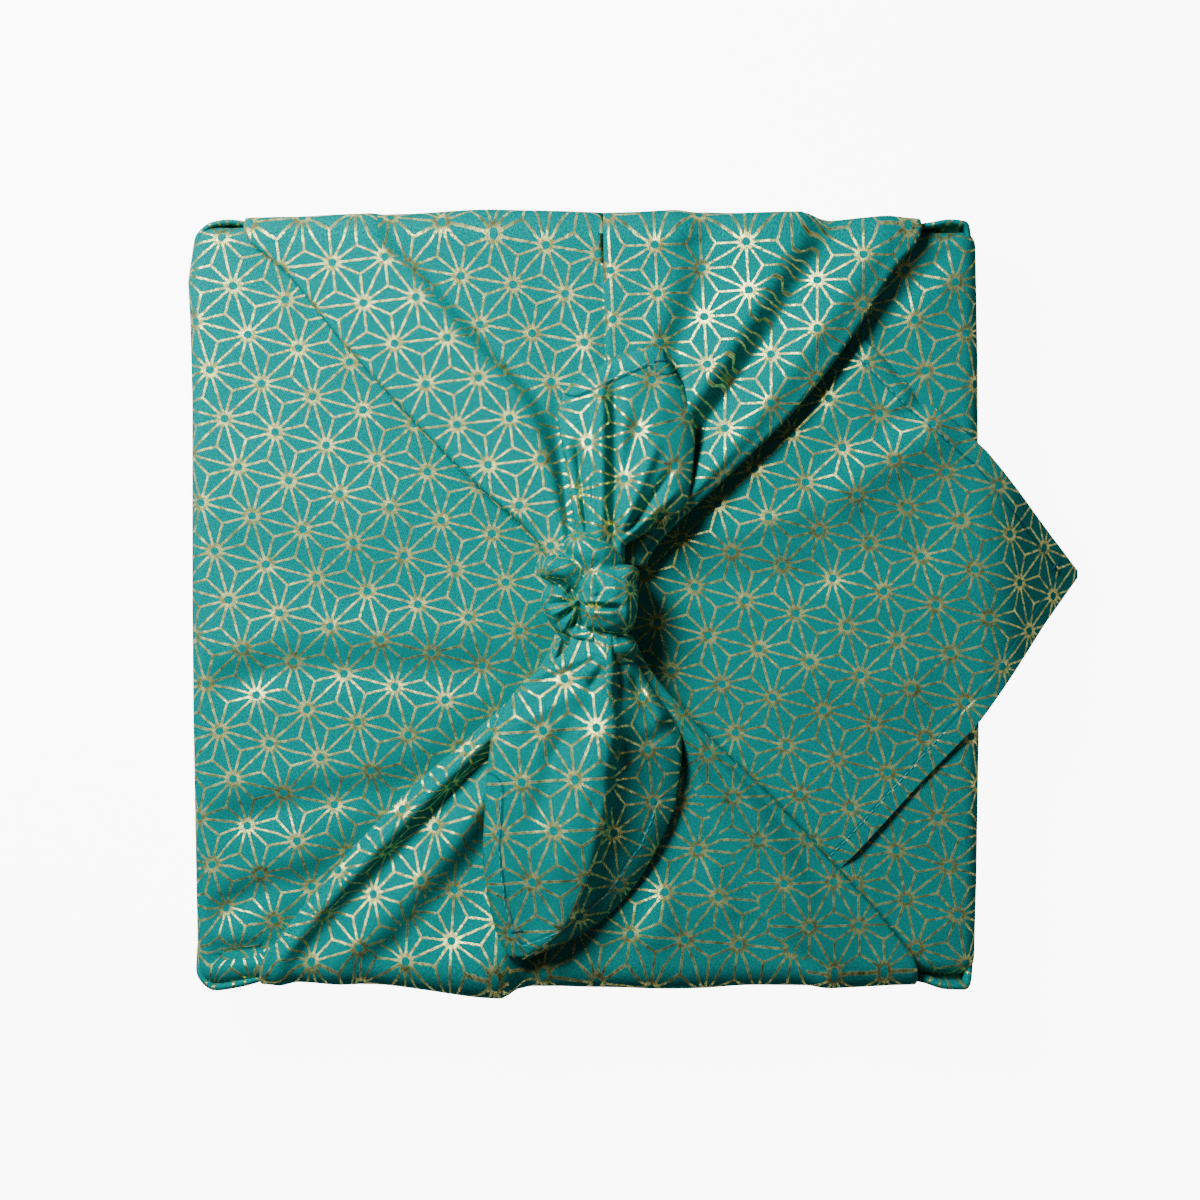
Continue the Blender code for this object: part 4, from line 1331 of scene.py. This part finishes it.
@dataclass
class Knot:
    """The knot: cloth crossed and pulled tight, as folds that bulge past one another."""

    name: str = "knot"
    middle: Triple = (2.0, 0.0, 51.0)
    around: int = 260
    upward: int = 120
    rolls: Sequence[Roll] = (
        Roll((1.5, -1.0, 48.0), (18.0, 13.0, 8.0), 96, (3, 10)),
        Roll((3.6, 15.2, 53), (11.6, 7.2, 10.6), -33, (9.5, -12), 2.1),
        Roll((-6.8, 10.4, 52), (9.8, 5.2, 9.8), -6, (7, 20), 2.1),
        Roll((8.3, -0.2, 52.5), (10.4, 13.0, 14.0), 0, (8.8, -30), 2.6),
        Roll((14.2, 9.0, 52.5), (4.6, 3.2, 12.0), 0, (5, -25), 2.6),
        Roll((-5.5, -2.6, 51), (10.8, 8.0, 8.6), -56, (3.4, 12), 2.1),
        Roll((1.0, -12.6, 51.5), (8.4, 3.4, 9.2), -28, (4, 40)),
        Roll((8.8, -15.6, 52), (9.8, 5.0, 9.8), -8, (-3, 75), 2.3),
        Roll((9.4, -19.8, 51), (8.2, 3.2, 8.6), -12, (1, 75), 2.2),
    )
    folds: Sequence[Ridge] = ridges(
        (-7, 16.6, 1.0, 11.2, -2.2, 0.9), (1.0, 11.2, 6, 12.6, -1.4, 0.9), (6, 12.6, 19, 11.6, -0.8, 0.8),
        (-1, -2.0, 13.5, -2.6, -3.0, 0.9), (0, -0.2, 12, -0.7, 0.8, 1.2), (0.6, -4.2, 12, -5, 0.9, 1.6),
        (0.6, 6.6, 4.6, 1.4, 1.2, 1.2), (3.4, 9, 7, 3, -1.2, 1.2), (9, 10, 12, 1, 0.7, 1.6),
        (-1.8, 0, 0.4, -10, -3.6, 1.1), (-5.6, 4.0, -1.6, 0.8, -5.0, 2.1), (-14, 5.0, -4, 4.4, -2.8, 1.5),
        (-3, 0.4, -13.6, 2.2, 1.3, 1.0), (-3, -0.6, -13, -1.6, -1.3, 0.9),
        (-3, -1.2, -11.6, -5.4, 1.5, 1.0), (-2.8, -2, -9.6, -8.4, -1.4, 0.9),
        (-2.4, -2.6, -7.6, -11.4, 1.5, 1.0), (-1.8, -3, -4.6, -12.6, -1.4, 0.9),
        (0.4, -10, 9.7, -12.2, -2.4, 0.9), (9.7, -12.2, 18.4, -13.8, -2.4, 0.9),
        (-7, -14.4, 1.4, -14.8, -1.6, 0.9), (1.4, -12.4, 9, -17.4, 1.2, 0.9),
        (2, -14.6, 8, -19, -1.3, 0.9), (14.4, 10, 14.8, -10, 0.6, 0.9), (-2, 21, 9, 15, 0.7, 1.2),
        (-14, 12, -4, 12.4, 0.6, 1.4),
    )
    wrinkle: float = 0.3
    blend: float = 0.35  # how softly the rolls grow together
    furthest: float = 34.0
    tries: int = 137  # distances tried between the middle and the furthest
    fold_foot: float = 50.0  # folds are pressed into the cloth above this height
    fold_climb: float = 6.0

    def build(self, material: Material) -> Object:
        """Make the knot as one closed mesh with its print.

        Args:
            material: Finish of the cloth.

        Returns:
            The object, at the origin.
        """
        bearing = np.radians(np.arange(self.around + 1) * 360 / self.around)
        rise = np.radians(90 * np.sin(np.linspace(-0.5 * math.pi, 0.5 * math.pi, self.upward)))
        rise[0], rise[-1] = -math.pi / 2, math.pi / 2
        flat = np.cos(rise)[:, None]
        up = np.sin(rise)[:, None] + 0 * bearing
        ways = np.stack([flat * np.cos(bearing), flat * np.sin(bearing), up], axis=-1)
        origin, steps = np.array(self.middle), np.linspace(0, self.furthest, self.tries)
        reaches = np.stack([roll.reach(origin, ways.reshape(-1, 3), steps) for roll in self.rolls])
        owner = reaches.argmax(axis=0).reshape(ways.shape[:2])
        longest = reaches.max(axis=0)
        reach = longest + self.blend * np.log(np.exp((reaches - longest) / self.blend).sum(axis=0))
        reach = reach.reshape(ways.shape[:2])
        points = origin + ways * reach[..., None]
        uneven = rumple(points[..., 0], points[..., 1] + points[..., 2], 7, 3)
        points += ways * (self.wrinkle * uneven * np.cos(rise)[:, None])[..., None]
        for fold in self.folds:
            upper = smooth_step((points[..., 2] - self.fold_foot) / self.fold_climb)
            points[..., 2] += fold.lift(points[..., 0], points[..., 1]) * upper
        corner_points = corners_of(points)
        owners = corners_of(owner)[:, :, 0]
        printed = np.zeros((*owners.shape, 4, 2))
        for number, roll in enumerate(self.rolls):
            printed[owners == number] = roll.place(corner_points[owners == number])
        index = np.arange(owner.size).reshape(owner.shape)
        quads = corners_of(index).reshape(-1, 4)
        made = mesh_object(self.name, points.reshape(-1, 3), quads, printed.reshape(-1, 2))
        work = bmesh.new()
        work.from_mesh(made.data)
        bmesh.ops.remove_doubles(work, verts=work.verts[:], dist=0.02 * MM)
        bmesh.ops.recalc_face_normals(work, faces=work.faces[:])
        work.to_mesh(made.data)
        work.free()
        mark_hem(made.data, np.full(len(made.data.vertices), NO_HEM))
        made.data.materials.append(material)
        return made


# Finishes


@dataclass(frozen=True)
class Signal:
    """A node's output, with arithmetic that adds further nodes."""

    nodes: "Nodes"
    socket: Socket

    def __add__(self, other: "Signal | float") -> "Signal":
        """Sum."""
        return self.nodes.math("ADD", self, other)

    def __sub__(self, other: "Signal | float") -> "Signal":
        """Difference."""
        return self.nodes.math("SUBTRACT", self, other)

    def __rsub__(self, other: float) -> "Signal":
        """A number less the signal."""
        return self.nodes.math("SUBTRACT", other, self)

    def __mul__(self, other: "Signal | float") -> "Signal":
        """Product."""
        return self.nodes.math("MULTIPLY", self, other)

    def __truediv__(self, other: "Signal | float") -> "Signal":
        """Quotient."""
        return self.nodes.math("DIVIDE", self, other)


Value = Signal | float


@dataclass
class Nodes:
    """Builds one node tree, shader or geometry."""

    tree: NodeTree

    def add(self, kind: str, inputs: dict | None = None, **settings: object) -> Node:
        """Add a node.

        Args:
            kind: Node type name.
            inputs: Sockets or values for its inputs, by name or number.
            **settings: The node's own properties.

        Returns:
            The node.
        """
        node = self.tree.nodes.new(kind)
        for name, value in settings.items():
            setattr(node, name, value)
        for key, value in (inputs or {}).items():
            self.feed(node.inputs[key], value)
        return node

    def feed(self, socket: Socket, value: object) -> None:
        """Give an input its value.

        Args:
            socket: The input.
            value: A signal or socket to link to it, or a plain value.
        """
        value = value.socket if isinstance(value, Signal) else value
        if isinstance(value, Socket):
            self.tree.links.new(value, socket)
        else:
            socket.default_value = value

    def out(self, node: Node, *keys: str | int) -> tuple[Signal, ...]:
        """Signals of a node's outputs, by name or number."""
        return tuple(Signal(self, node.outputs[key]) for key in keys)

    def math(self, operation: str, *values: Value) -> Signal:
        """The result of one step of arithmetic."""
        return self.out(self.add("ShaderNodeMath", dict(enumerate(values)), operation=operation), 0)[0]

    def blend(self, share: Value, first: object, second: object) -> Signal:
        """Blend two colours.

        Args:
            share: From the first colour, 0, to the second, 1.
            first: A signal or three numbers.
            second: The same.

        Returns:
            The colour between them.
        """
        node = self.add("ShaderNodeMix", {"Factor": share}, data_type="RGBA")
        colours = [socket for socket in node.inputs if socket.type == "RGBA"]
        for socket, colour in zip(colours, (first, second)):
            self.feed(socket, colour if isinstance(colour, Signal) else (*colour, 1))
        return [Signal(self, socket) for socket in node.outputs if socket.type == "RGBA"][0]

    def ramp(self, value: Value, low: float, high: float, start: float = 0, end: float = 1) -> Signal:
        """A value eased from start to end as it goes from low to high."""
        inputs = {"Value": value, "From Min": low, "From Max": high, "To Min": start, "To Max": end}
        return self.out(self.add("ShaderNodeMapRange", inputs, interpolation_type="SMOOTHSTEP"), 0)[0]

    def noise(self, place: Value, scale: float, detail: float = 2.0) -> Signal:
        """Cloudy values round 0.5."""
        inputs = {"Vector": place, "Scale": scale, "Detail": detail}
        return self.out(self.add("ShaderNodeTexNoise", inputs), 0)[0]

    def bump(self, shader: Node, height: Value, distance: float, strength: float) -> None:
        """Give a shader a relief, its distance in metres."""
        bump = self.add("ShaderNodeBump", {"Height": height, "Distance": distance, "Strength": strength})
        self.feed(shader.inputs["Normal"], bump.outputs[0])

    def group(self, tree: NodeTree, inputs: dict) -> Node:
        """Add a node group with these inputs."""
        return self.add("ShaderNodeGroup", inputs, node_tree=tree)


def shader_group(name: str, inputs: Sequence[str], outputs: Sequence[str]) -> tuple[Nodes, Node, Node]:
    """An empty shader node group.

    Args:
        name: Group name.
        inputs: Its number inputs; a name that starts with "Place" is a vector.
        outputs: Its number outputs.

    Returns:
        The tree's builder, its input node and its output node.
    """
    tree = bpy.data.node_groups.new(name, "ShaderNodeTree")
    for label in inputs:
        kind = "NodeSocketVector" if label.startswith("Place") else "NodeSocketFloat"
        tree.interface.new_socket(label, in_out="INPUT", socket_type=kind)
    for label in outputs:
        tree.interface.new_socket(label, in_out="OUTPUT", socket_type="NodeSocketFloat")
    nodes = Nodes(tree)
    return nodes, nodes.add("NodeGroupInput"), nodes.add("NodeGroupOutput")


def star_print_group() -> NodeTree:
    """Hemp-leaf print: a net of triangles, each with three lines from its middle and bare dots at corners.

    Returns:
        The group, with where the ink lies, 0 to 1.
    """
    nodes, given, result = shader_group("star print", ["Place", "Pitch", "Line", "Dot"], ["Ink"])
    pitch, place, line, dot = nodes.out(given, "Pitch", "Place", "Line", "Dot")
    east, north = nodes.out(nodes.add("ShaderNodeSeparateXYZ", {0: place}), 0, 1)
    height = pitch * math.sqrt(0.75)
    rank = north * -1.0 / height
    row = east / pitch - rank * 0.5
    a, b = nodes.math("FRACT", row), nodes.math("FRACT", rank)
    upper = nodes.math("GREATER_THAN", a + b, 1.0)
    a, b = (nodes.math("ABSOLUTE", upper - share) for share in (a, b))
    c = 1.0 - (a + b)
    least = nodes.math("MINIMUM", nodes.math("MINIMUM", a, b), c)
    most = nodes.math("MAXIMUM", nodes.math("MAXIMUM", a, b), c)
    middle = 1.0 - least - most
    from_side = least * height
    from_spoke = (middle - least) * height / math.sqrt(3)
    from_line = nodes.math("MINIMUM", from_side, from_spoke)
    from_star = nodes.math("SQRT", middle * middle + least * least + middle * least) * pitch
    wobble = nodes.noise(place, 900.0, 1.0) - 0.5
    bled = nodes.ramp(from_star, 0.0018, 0.0038, 0.00032, 0.0)  # lines are broader where they meet
    edge = 0.00012  # half the width over which the ink ends
    inked = nodes.ramp(from_line - (line + bled + wobble * 0.00055), -edge, edge, 1.0, 0.0)
    outside = nodes.ramp(from_star - (dot + wobble * 0.0006), -edge, edge)
    nodes.feed(result.inputs["Ink"], inked * outside)
    return nodes.tree


def twill_group() -> NodeTree:
    """Fine diagonal weave.

    Returns:
        The group, with Height for the relief and Grain for colour and ink.
    """
    nodes, given, result = shader_group("twill", ["Place", "Pitch"], ["Height", "Grain"])
    place, pitch = nodes.out(given, "Place", "Pitch")
    east, north = nodes.out(nodes.add("ShaderNodeSeparateXYZ", {0: place}), 0, 1)
    turns = nodes.math("DIVIDE", math.tau, pitch)
    diagonal = east * 0.8 + north * 0.6
    uneven = nodes.noise(place, 700.0, 3.0) * 3.0
    rib = nodes.math("SINE", diagonal * turns + uneven)
    thread = nodes.math("SINE", north * (turns * 0.85))
    woven = rib * 0.35 + thread * 0.15
    nodes.feed(result.inputs["Height"], woven + 0.5)
    grain = nodes.noise(place, 1700.0, 3.0)
    nodes.feed(result.inputs["Grain"], woven * 0.2 + grain)
    return nodes.tree


def hem_group() -> NodeTree:
    """Turned hem, with a groove where it is sewn.

    Returns:
        The group, with Height, which steps down past the hem, and Seam, which is 1 in the groove and also
        sets where shade is painted into the cloth.
    """
    nodes, given, result = shader_group("hem", ["Distance", "Width"], ["Height", "Seam"])
    distance, width = nodes.out(given, "Distance", "Width")
    past = distance - width
    doubled = nodes.ramp(past, -0.4, 0.5, 1.0, 0.0)
    seam = nodes.ramp(nodes.math("ABSOLUTE", past), 0.15, 0.7, 1.0, 0.0)
    nodes.feed(result.inputs["Height"], doubled - seam * 0.7)
    nodes.feed(result.inputs["Seam"], seam)
    return nodes.tree


def handling_group() -> NodeTree:
    """Slight unevenness of dyed and handled cotton.

    Returns:
        The group, with Cloud over hand-sized patches and Fray over a few stars.
    """
    nodes, given, result = shader_group("handling", ["Place"], ["Cloud", "Fray"])
    nodes.feed(result.inputs["Cloud"], nodes.noise(given.outputs["Place"], 28.0, 3.0))
    nodes.feed(result.inputs["Fray"], nodes.noise(given.outputs["Place"], 420.0, 3.0))
    return nodes.tree


@dataclass(frozen=True)
class PrintedCotton:
    """Dyed cotton twill with a metallic print."""

    name: str = "printed cotton"
    dye: Triple = (0.0, 0.34, 0.325)
    dye_shade: Triple = (0.0, 0.17, 0.165)
    ink: Triple = (1.0, 1.0, 0.36)
    ink_shade: Triple = (0.38, 0.37, 0.09)
    # painted shade: a darker colour for the hem's sewn groove, standing in for the shade that falls in it
    seam_shade: Triple = (0.0, 0.135, 0.14)
    line: float = 0.00038  # half the width of a printed line, in metres
    dot: float = 0.0014  # radius of the bare dot, in metres
    twill: float = 0.0006  # distance between ribs of the weave, in metres
    hem_width: float = 6.0
    bare: float = 0.0  # plain cotton has no gloss of its own

    def build(self) -> Material:
        """Make the material.

        Returns:
            The material, ready for a mesh.
        """
        material, nodes, shader = new_material(self.name)
        place = nodes.add("ShaderNodeUVMap", uv_map="Print").outputs[0]
        sizes = {"Place": place, "Pitch": PRINT_PITCH * MM, "Line": self.line, "Dot": self.dot}
        (printed,) = nodes.out(nodes.group(star_print_group(), sizes), "Ink")
        woven = nodes.group(twill_group(), {"Place": place, "Pitch": self.twill})
        weave, grain = nodes.out(woven, "Height", "Grain")
        away = nodes.add("ShaderNodeAttribute", attribute_name="hem").outputs["Fac"]
        hem = nodes.group(hem_group(), {"Distance": away, "Width": self.hem_width})
        step, seam = nodes.out(hem, "Height", "Seam")
        cloud, fray = nodes.out(nodes.group(handling_group(), {"Place": place}), "Cloud", "Fray")
        broken = nodes.ramp(grain, 0.38, 0.54, 0.3, 1.0)
        unsewn = 1.0 - seam * 0.7
        ink = printed * broken * unsewn
        dyed = nodes.blend(nodes.ramp(grain, 0.3, 0.7), self.dye_shade, self.dye)
        dyed = nodes.blend(nodes.ramp(cloud, 0.35, 0.7, 0.0, 0.12), dyed, self.dye_shade)
        # painted shade: the cloth is darkened in the sewn groove, so from here on dyed holds the dye and that
        # painted shade
        dyed = nodes.blend(seam * 0.95, dyed, self.seam_shade)
        metal = nodes.blend(nodes.ramp(fray, 0.35, 0.65), self.ink_shade, self.ink)
        nodes.feed(shader.inputs["Base Color"], nodes.blend(ink, dyed, metal))
        nodes.feed(shader.inputs["Metallic"], ink)
        nodes.feed(shader.inputs["Roughness"], nodes.ramp(ink, 0.0, 1.0, 0.9, 0.4))
        shader.inputs["Specular IOR Level"].default_value = self.bare
        nodes.bump(shader, weave * 0.15 + step * 1.1 + printed * 0.12, 0.0003, 0.7)
        return material


@dataclass(frozen=True)
class SewingThread:
    """Twisted cotton thread of the hems."""

    name: str = "sewing thread"
    colour: Triple = (0.03, 0.5, 0.5)
    shade: float = 0.55  # share of the colour between the fibres

    def build(self) -> Material:
        """Make the material.

        Returns:
            The material, ready for a mesh.
        """
        material, nodes, shader = new_material(self.name)
        place = nodes.add("ShaderNodeTexCoord").outputs["Object"]
        fibre = nodes.noise(place, 5200.0, 2.0)
        shade = tuple(c * self.shade for c in self.colour)
        dyed = nodes.blend(nodes.ramp(fibre, 0.35, 0.65), shade, self.colour)
        nodes.feed(shader.inputs["Base Color"], dyed)
        nodes.feed(shader.inputs["Roughness"], nodes.ramp(fibre, 0.3, 0.7, 0.55, 0.8))
        nodes.bump(shader, fibre, 0.0001, 0.5)
        return material


@dataclass(frozen=True)
class StudioPaper:
    """White paper that looks bright to the camera and throws no light of its own on the cloth."""

    name: str = "studio paper"
    colour: Triple = (0.86, 0.86, 0.85)
    glow: float = 9.0

    def build(self) -> Material:
        """Make the material.

        Returns:
            The material, ready for a mesh.
        """
        material, nodes, shader = new_material(self.name)
        place = nodes.add("ShaderNodeTexCoord").outputs["Object"]
        shade = tuple(c * 0.98 for c in self.colour)
        colour = nodes.blend(nodes.noise(place, 9.0), shade, self.colour)
        nodes.feed(shader.inputs["Base Color"], colour)
        shader.inputs["Roughness"].default_value = 0.9
        seen = nodes.add("ShaderNodeLightPath").outputs["Is Camera Ray"]
        nodes.feed(shader.inputs["Emission Color"], nodes.blend(seen, (0, 0, 0), (1, 1, 1)))
        shader.inputs["Emission Strength"].default_value = self.glow
        return material


def new_material(name: str) -> tuple[Material, Nodes, Node]:
    """An empty material with its shader.

    Args:
        name: Material name.

    Returns:
        The material, its tree's builder and its Principled shader.
    """
    material = bpy.data.materials.new(name)
    material.use_nodes = True
    material.node_tree.nodes.clear()
    nodes = Nodes(material.node_tree)
    shader = nodes.add("ShaderNodeBsdfPrincipled")
    output = nodes.add("ShaderNodeOutputMaterial")
    nodes.feed(output.inputs["Surface"], shader.outputs[0])
    return material, nodes, shader


# Stitches


def seam_paths(patch: Patch, inset: float, proud: float) -> list[Grid]:
    """Lines across a patch's columns, on its upper face, at a distance inside its hems.

    Args:
        patch: Cloth with hem distances.
        inset: Distance from the hemmed edge.
        proud: How far above mid-sheet they lie.

    Returns:
        A path for each side that has a hem.
    """
    points, away = patch.points, patch.hem
    normal = np.cross(np.gradient(points, axis=1), np.gradient(points, axis=0))
    normal /= np.maximum(np.linalg.norm(normal, axis=2, keepdims=True), 1e-9)
    lifted = points + normal * proud * np.sign(np.median(normal[..., 2]))
    lifted, away = lifted.transpose(1, 0, 2), away.T
    paths = []
    for backwards in (False, True):
        path = []
        for line, distance in zip(lifted, away):
            if backwards:
                line, distance = line[::-1], distance[::-1]
            crossed = np.flatnonzero((distance[:-1] < inset) & (distance[1:] >= inset))
            if distance[0] < 0.5 and len(crossed):
                k = crossed[0]
                share = (inset - distance[k]) / (distance[k + 1] - distance[k])
                path.append(line[k] + (line[k + 1] - line[k]) * min(1.0, share))
        if len(path) > 2:
            paths.append(np.array(path))
    return paths


def tack_path(patch: Patch, start: Pair, end: Pair, proud: float) -> Grid:
    """A short straight line on a patch's upper face.

    Args:
        patch: The cloth.
        start: Where the line starts, as seen from above.
        end: Where it ends.
        proud: How far above mid-sheet it lies.

    Returns:
        The line's points.
    """
    points = patch.points.reshape(-1, 3)
    plan = np.array(start) + (np.array(end) - np.array(start)) * even(6)[:, None]
    away = np.linalg.norm(points[None, :, :2] - plan[:, None, :], axis=2) - 0.001 * points[None, :, 2]
    heights = points[away.argmin(axis=1), 2] + proud
    return np.column_stack([plan, heights])


def stitch_tree() -> NodeTree:
    """Geometry nodes that lay short stitches along curves.

    Returns:
        The tree, whose inputs set the stitches' distance, length, thickness and finish.
    """
    tree = bpy.data.node_groups.new("hem stitches", "GeometryNodeTree")
    tree.interface.new_socket("Geometry", in_out="INPUT", socket_type="NodeSocketGeometry")
    for label in ("Repeat", "Length", "Thickness"):
        tree.interface.new_socket(label, in_out="INPUT", socket_type="NodeSocketFloat")
    tree.interface.new_socket("Material", in_out="INPUT", socket_type="NodeSocketMaterial")
    tree.interface.new_socket("Geometry", in_out="OUTPUT", socket_type="NodeSocketGeometry")
    nodes = Nodes(tree)
    given, result = nodes.add("NodeGroupInput").outputs, nodes.add("NodeGroupOutput")
    spacing = {"Curve": given["Geometry"], "Length": given["Repeat"]}
    spaced = nodes.add("GeometryNodeResampleCurve", spacing, mode="LENGTH")
    places = nodes.add("GeometryNodeCurveToPoints", {"Curve": spaced.outputs[0]}, mode="EVALUATED")
    bead = nodes.add("GeometryNodeMeshUVSphere", {"Radius": 0.5, "Segments": 8, "Rings": 5})
    lengths = [given["Thickness"], given["Thickness"], given["Length"]]
    size = nodes.add("ShaderNodeCombineXYZ", dict(enumerate(lengths)))
    span = {"Min": (0.9,) * 3, "Max": (1.1,) * 3, "Seed": 7}
    jitter = nodes.add("FunctionNodeRandomValue", span, data_type="FLOAT_VECTOR")
    factors = {0: size.outputs[0], 1: jitter.outputs[0]}
    scale = nodes.add("ShaderNodeVectorMath", factors, operation="MULTIPLY")
    inputs = {
        "Points": places.outputs["Points"],
        "Instance": bead.outputs["Mesh"],
        "Rotation": places.outputs["Rotation"],
        "Scale": scale.outputs[0],
    }
    stitches = nodes.add("GeometryNodeInstanceOnPoints", inputs)
    whole = nodes.add("GeometryNodeRealizeInstances", {"Geometry": stitches.outputs[0]})
    smooth = nodes.add("GeometryNodeSetShadeSmooth", {"Geometry": whole.outputs[0]})
    dressing = {"Geometry": smooth.outputs[0], "Material": given["Material"]}
    dressed = nodes.add("GeometryNodeSetMaterial", dressing)
    nodes.feed(result.inputs[0], dressed.outputs[0])
    return tree


@dataclass
class HemStitches:
    """Running stitches along the hems."""

    name: str
    paths: list[Grid]
    repeat: float = 2.9
    length: float = 2.3
    thickness: float = 0.55

    def build(self, material: Material) -> Object:
        """Make the stitches as a plain mesh.

        Args:
            material: Finish of the thread.

        Returns:
            The object, at the origin.
        """
        curve = bpy.data.curves.new(self.name, "CURVE")
        curve.dimensions = "3D"
        for path in self.paths:
            spline = curve.splines.new("POLY")
            spline.points.add(len(path) - 1)
            spline.points.foreach_set("co", np.column_stack([path * MM, np.ones(len(path))]).ravel())
        guide = in_scene(self.name + "_guide", curve)
        modifier = guide.modifiers.new("stitches", "NODES")
        modifier.node_group = stitch_tree()
        sizes = {"Repeat": self.repeat * MM, "Length": self.length * MM, "Thickness": self.thickness * MM}
        for item in modifier.node_group.interface.items_tree:
            if item.name in sizes:
                modifier[item.identifier] = sizes[item.name]
            if item.name == "Material":
                modifier[item.identifier] = material
        return plain_mesh(guide, self.name)


def plain_mesh(source: Object, name: str) -> Object:
    """A mesh object with the source's modifiers applied; the source is removed.

    Args:
        source: Object with live modifiers.
        name: Name of the new object.

    Returns:
        The plain object.
    """
    mesh = bpy.data.meshes.new_from_object(source.evaluated_get(bpy.context.evaluated_depsgraph_get()))
    mesh.name = name
    bpy.data.objects.remove(source)
    return in_scene(name, mesh)


# Studio


@dataclass(frozen=True)
class SoftLight:
    """A square area light."""

    name: str
    place: Triple  # metres
    aim: Triple
    size: float
    power: float

    def build(self) -> Object:
        """Make the light.

        Returns:
            The light, aimed at its place.
        """
        lamp = bpy.data.lights.new(self.name, "AREA")
        lamp.size, lamp.energy = self.size, self.power
        made = in_scene(self.name, lamp)
        made.location = self.place
        made.rotation_euler = (Vector(self.aim) - Vector(self.place)).to_track_quat("-Z", "Y").to_euler()
        return made


@dataclass(frozen=True)
class Studio:
    """Floor, lights and the camera that looks straight down."""

    centre: Pair = (5.6, 0.0)
    seen_from: float = 1204.7
    lens: float = 100.0
    sensor: float = 36.0
    floor_reach: float = 3.0  # metres
    world: float = 0.025  # strength of the light from all round
    lights: Sequence[SoftLight] = (
        SoftLight("key", (-0.31, 0.31, 0.51), (-0.02, 0.0, 0.04), 0.24, 6.5),
        SoftLight("fill", (0.75, -0.1, 0.26), (0.1, 0, 0.03), 0.5, 0.5),
    )

    def build(self) -> None:
        """Make the floor, the lights, the world and the camera."""
        mesh = bpy.data.meshes.new("floor")
        far = self.floor_reach
        mesh.from_pydata([(-far, -far, 0), (far, -far, 0), (far, far, 0), (-far, far, 0)], [], [(0, 1, 2, 3)])
        mesh.materials.append(StudioPaper().build())
        in_scene("floor", mesh)
        for light in self.lights:
            light.build()
        world = bpy.data.worlds.new("studio")
        world.use_nodes = True
        background = world.node_tree.nodes["Background"].inputs
        background["Color"].default_value = (1, 1, 1, 1)
        background["Strength"].default_value = self.world
        bpy.context.scene.world = world
        lens = bpy.data.cameras.new("camera")
        lens.lens, lens.sensor_width = self.lens, self.sensor
        camera = in_scene("camera", lens)
        camera.location = (self.centre[0] * MM, self.centre[1] * MM, self.seen_from * MM)
        bpy.context.scene.camera = camera


def main() -> None:
    """Build the cloth, its knot and ends, the stitches and the studio."""
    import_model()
    cotton, thread = PrintedCotton().build(), SewingThread().build()
    wrapped = Wrap(strips=(NORTH_STRIP, SOUTH_STRIP)).patch()
    north, south = NORTH_END.patch(), SOUTH_END.patch()
    ears = [lip.patch() for lip in EAR_LIPS]
    patches = [wrapped, NORTH_STRIP.patch(), SOUTH_STRIP.patch(), north, south, *ears]
    cloth = Sheet("furoshiki", patches).build(cotton)
    knot = Knot().build(cotton)
    proud = 0.52
    paths = seam_paths(wrapped, 5.8, proud) + [NORTH_END.seam(5.0, proud), SOUTH_END.seam(5.2, proud)]
    stitches = HemStitches("hem_stitches", paths).build(thread)
    proud = 0.4
    corners = [
        tack_path(north, (23.6, 82.4), (28.4, 83.2), proud),
        tack_path(south, (-25.6, -115.4), (-21.4, -114.4), proud),
        tack_path(wrapped, (165.4, 9.6), (169.2, 14.0), proud),
    ]
    tack_thread = SewingThread("tack thread", (0.0, 0.12, 0.2)).build()
    tacks = HemStitches("bar_tacks", corners, repeat=0.5, length=0.42, thickness=1.1).build(tack_thread)
    pieces = [cloth, knot, stitches, tacks]
    for piece in pieces:
        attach(piece, "root")
        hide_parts("cloth")
    Studio().build()
    for piece in pieces:
        log.info("%s: %d faces before modifiers", piece.name, len(piece.data.polygons))


if __name__ == "__main__":
    logging.basicConfig(level=logging.INFO, format="%(name)s: %(message)s")
    main()
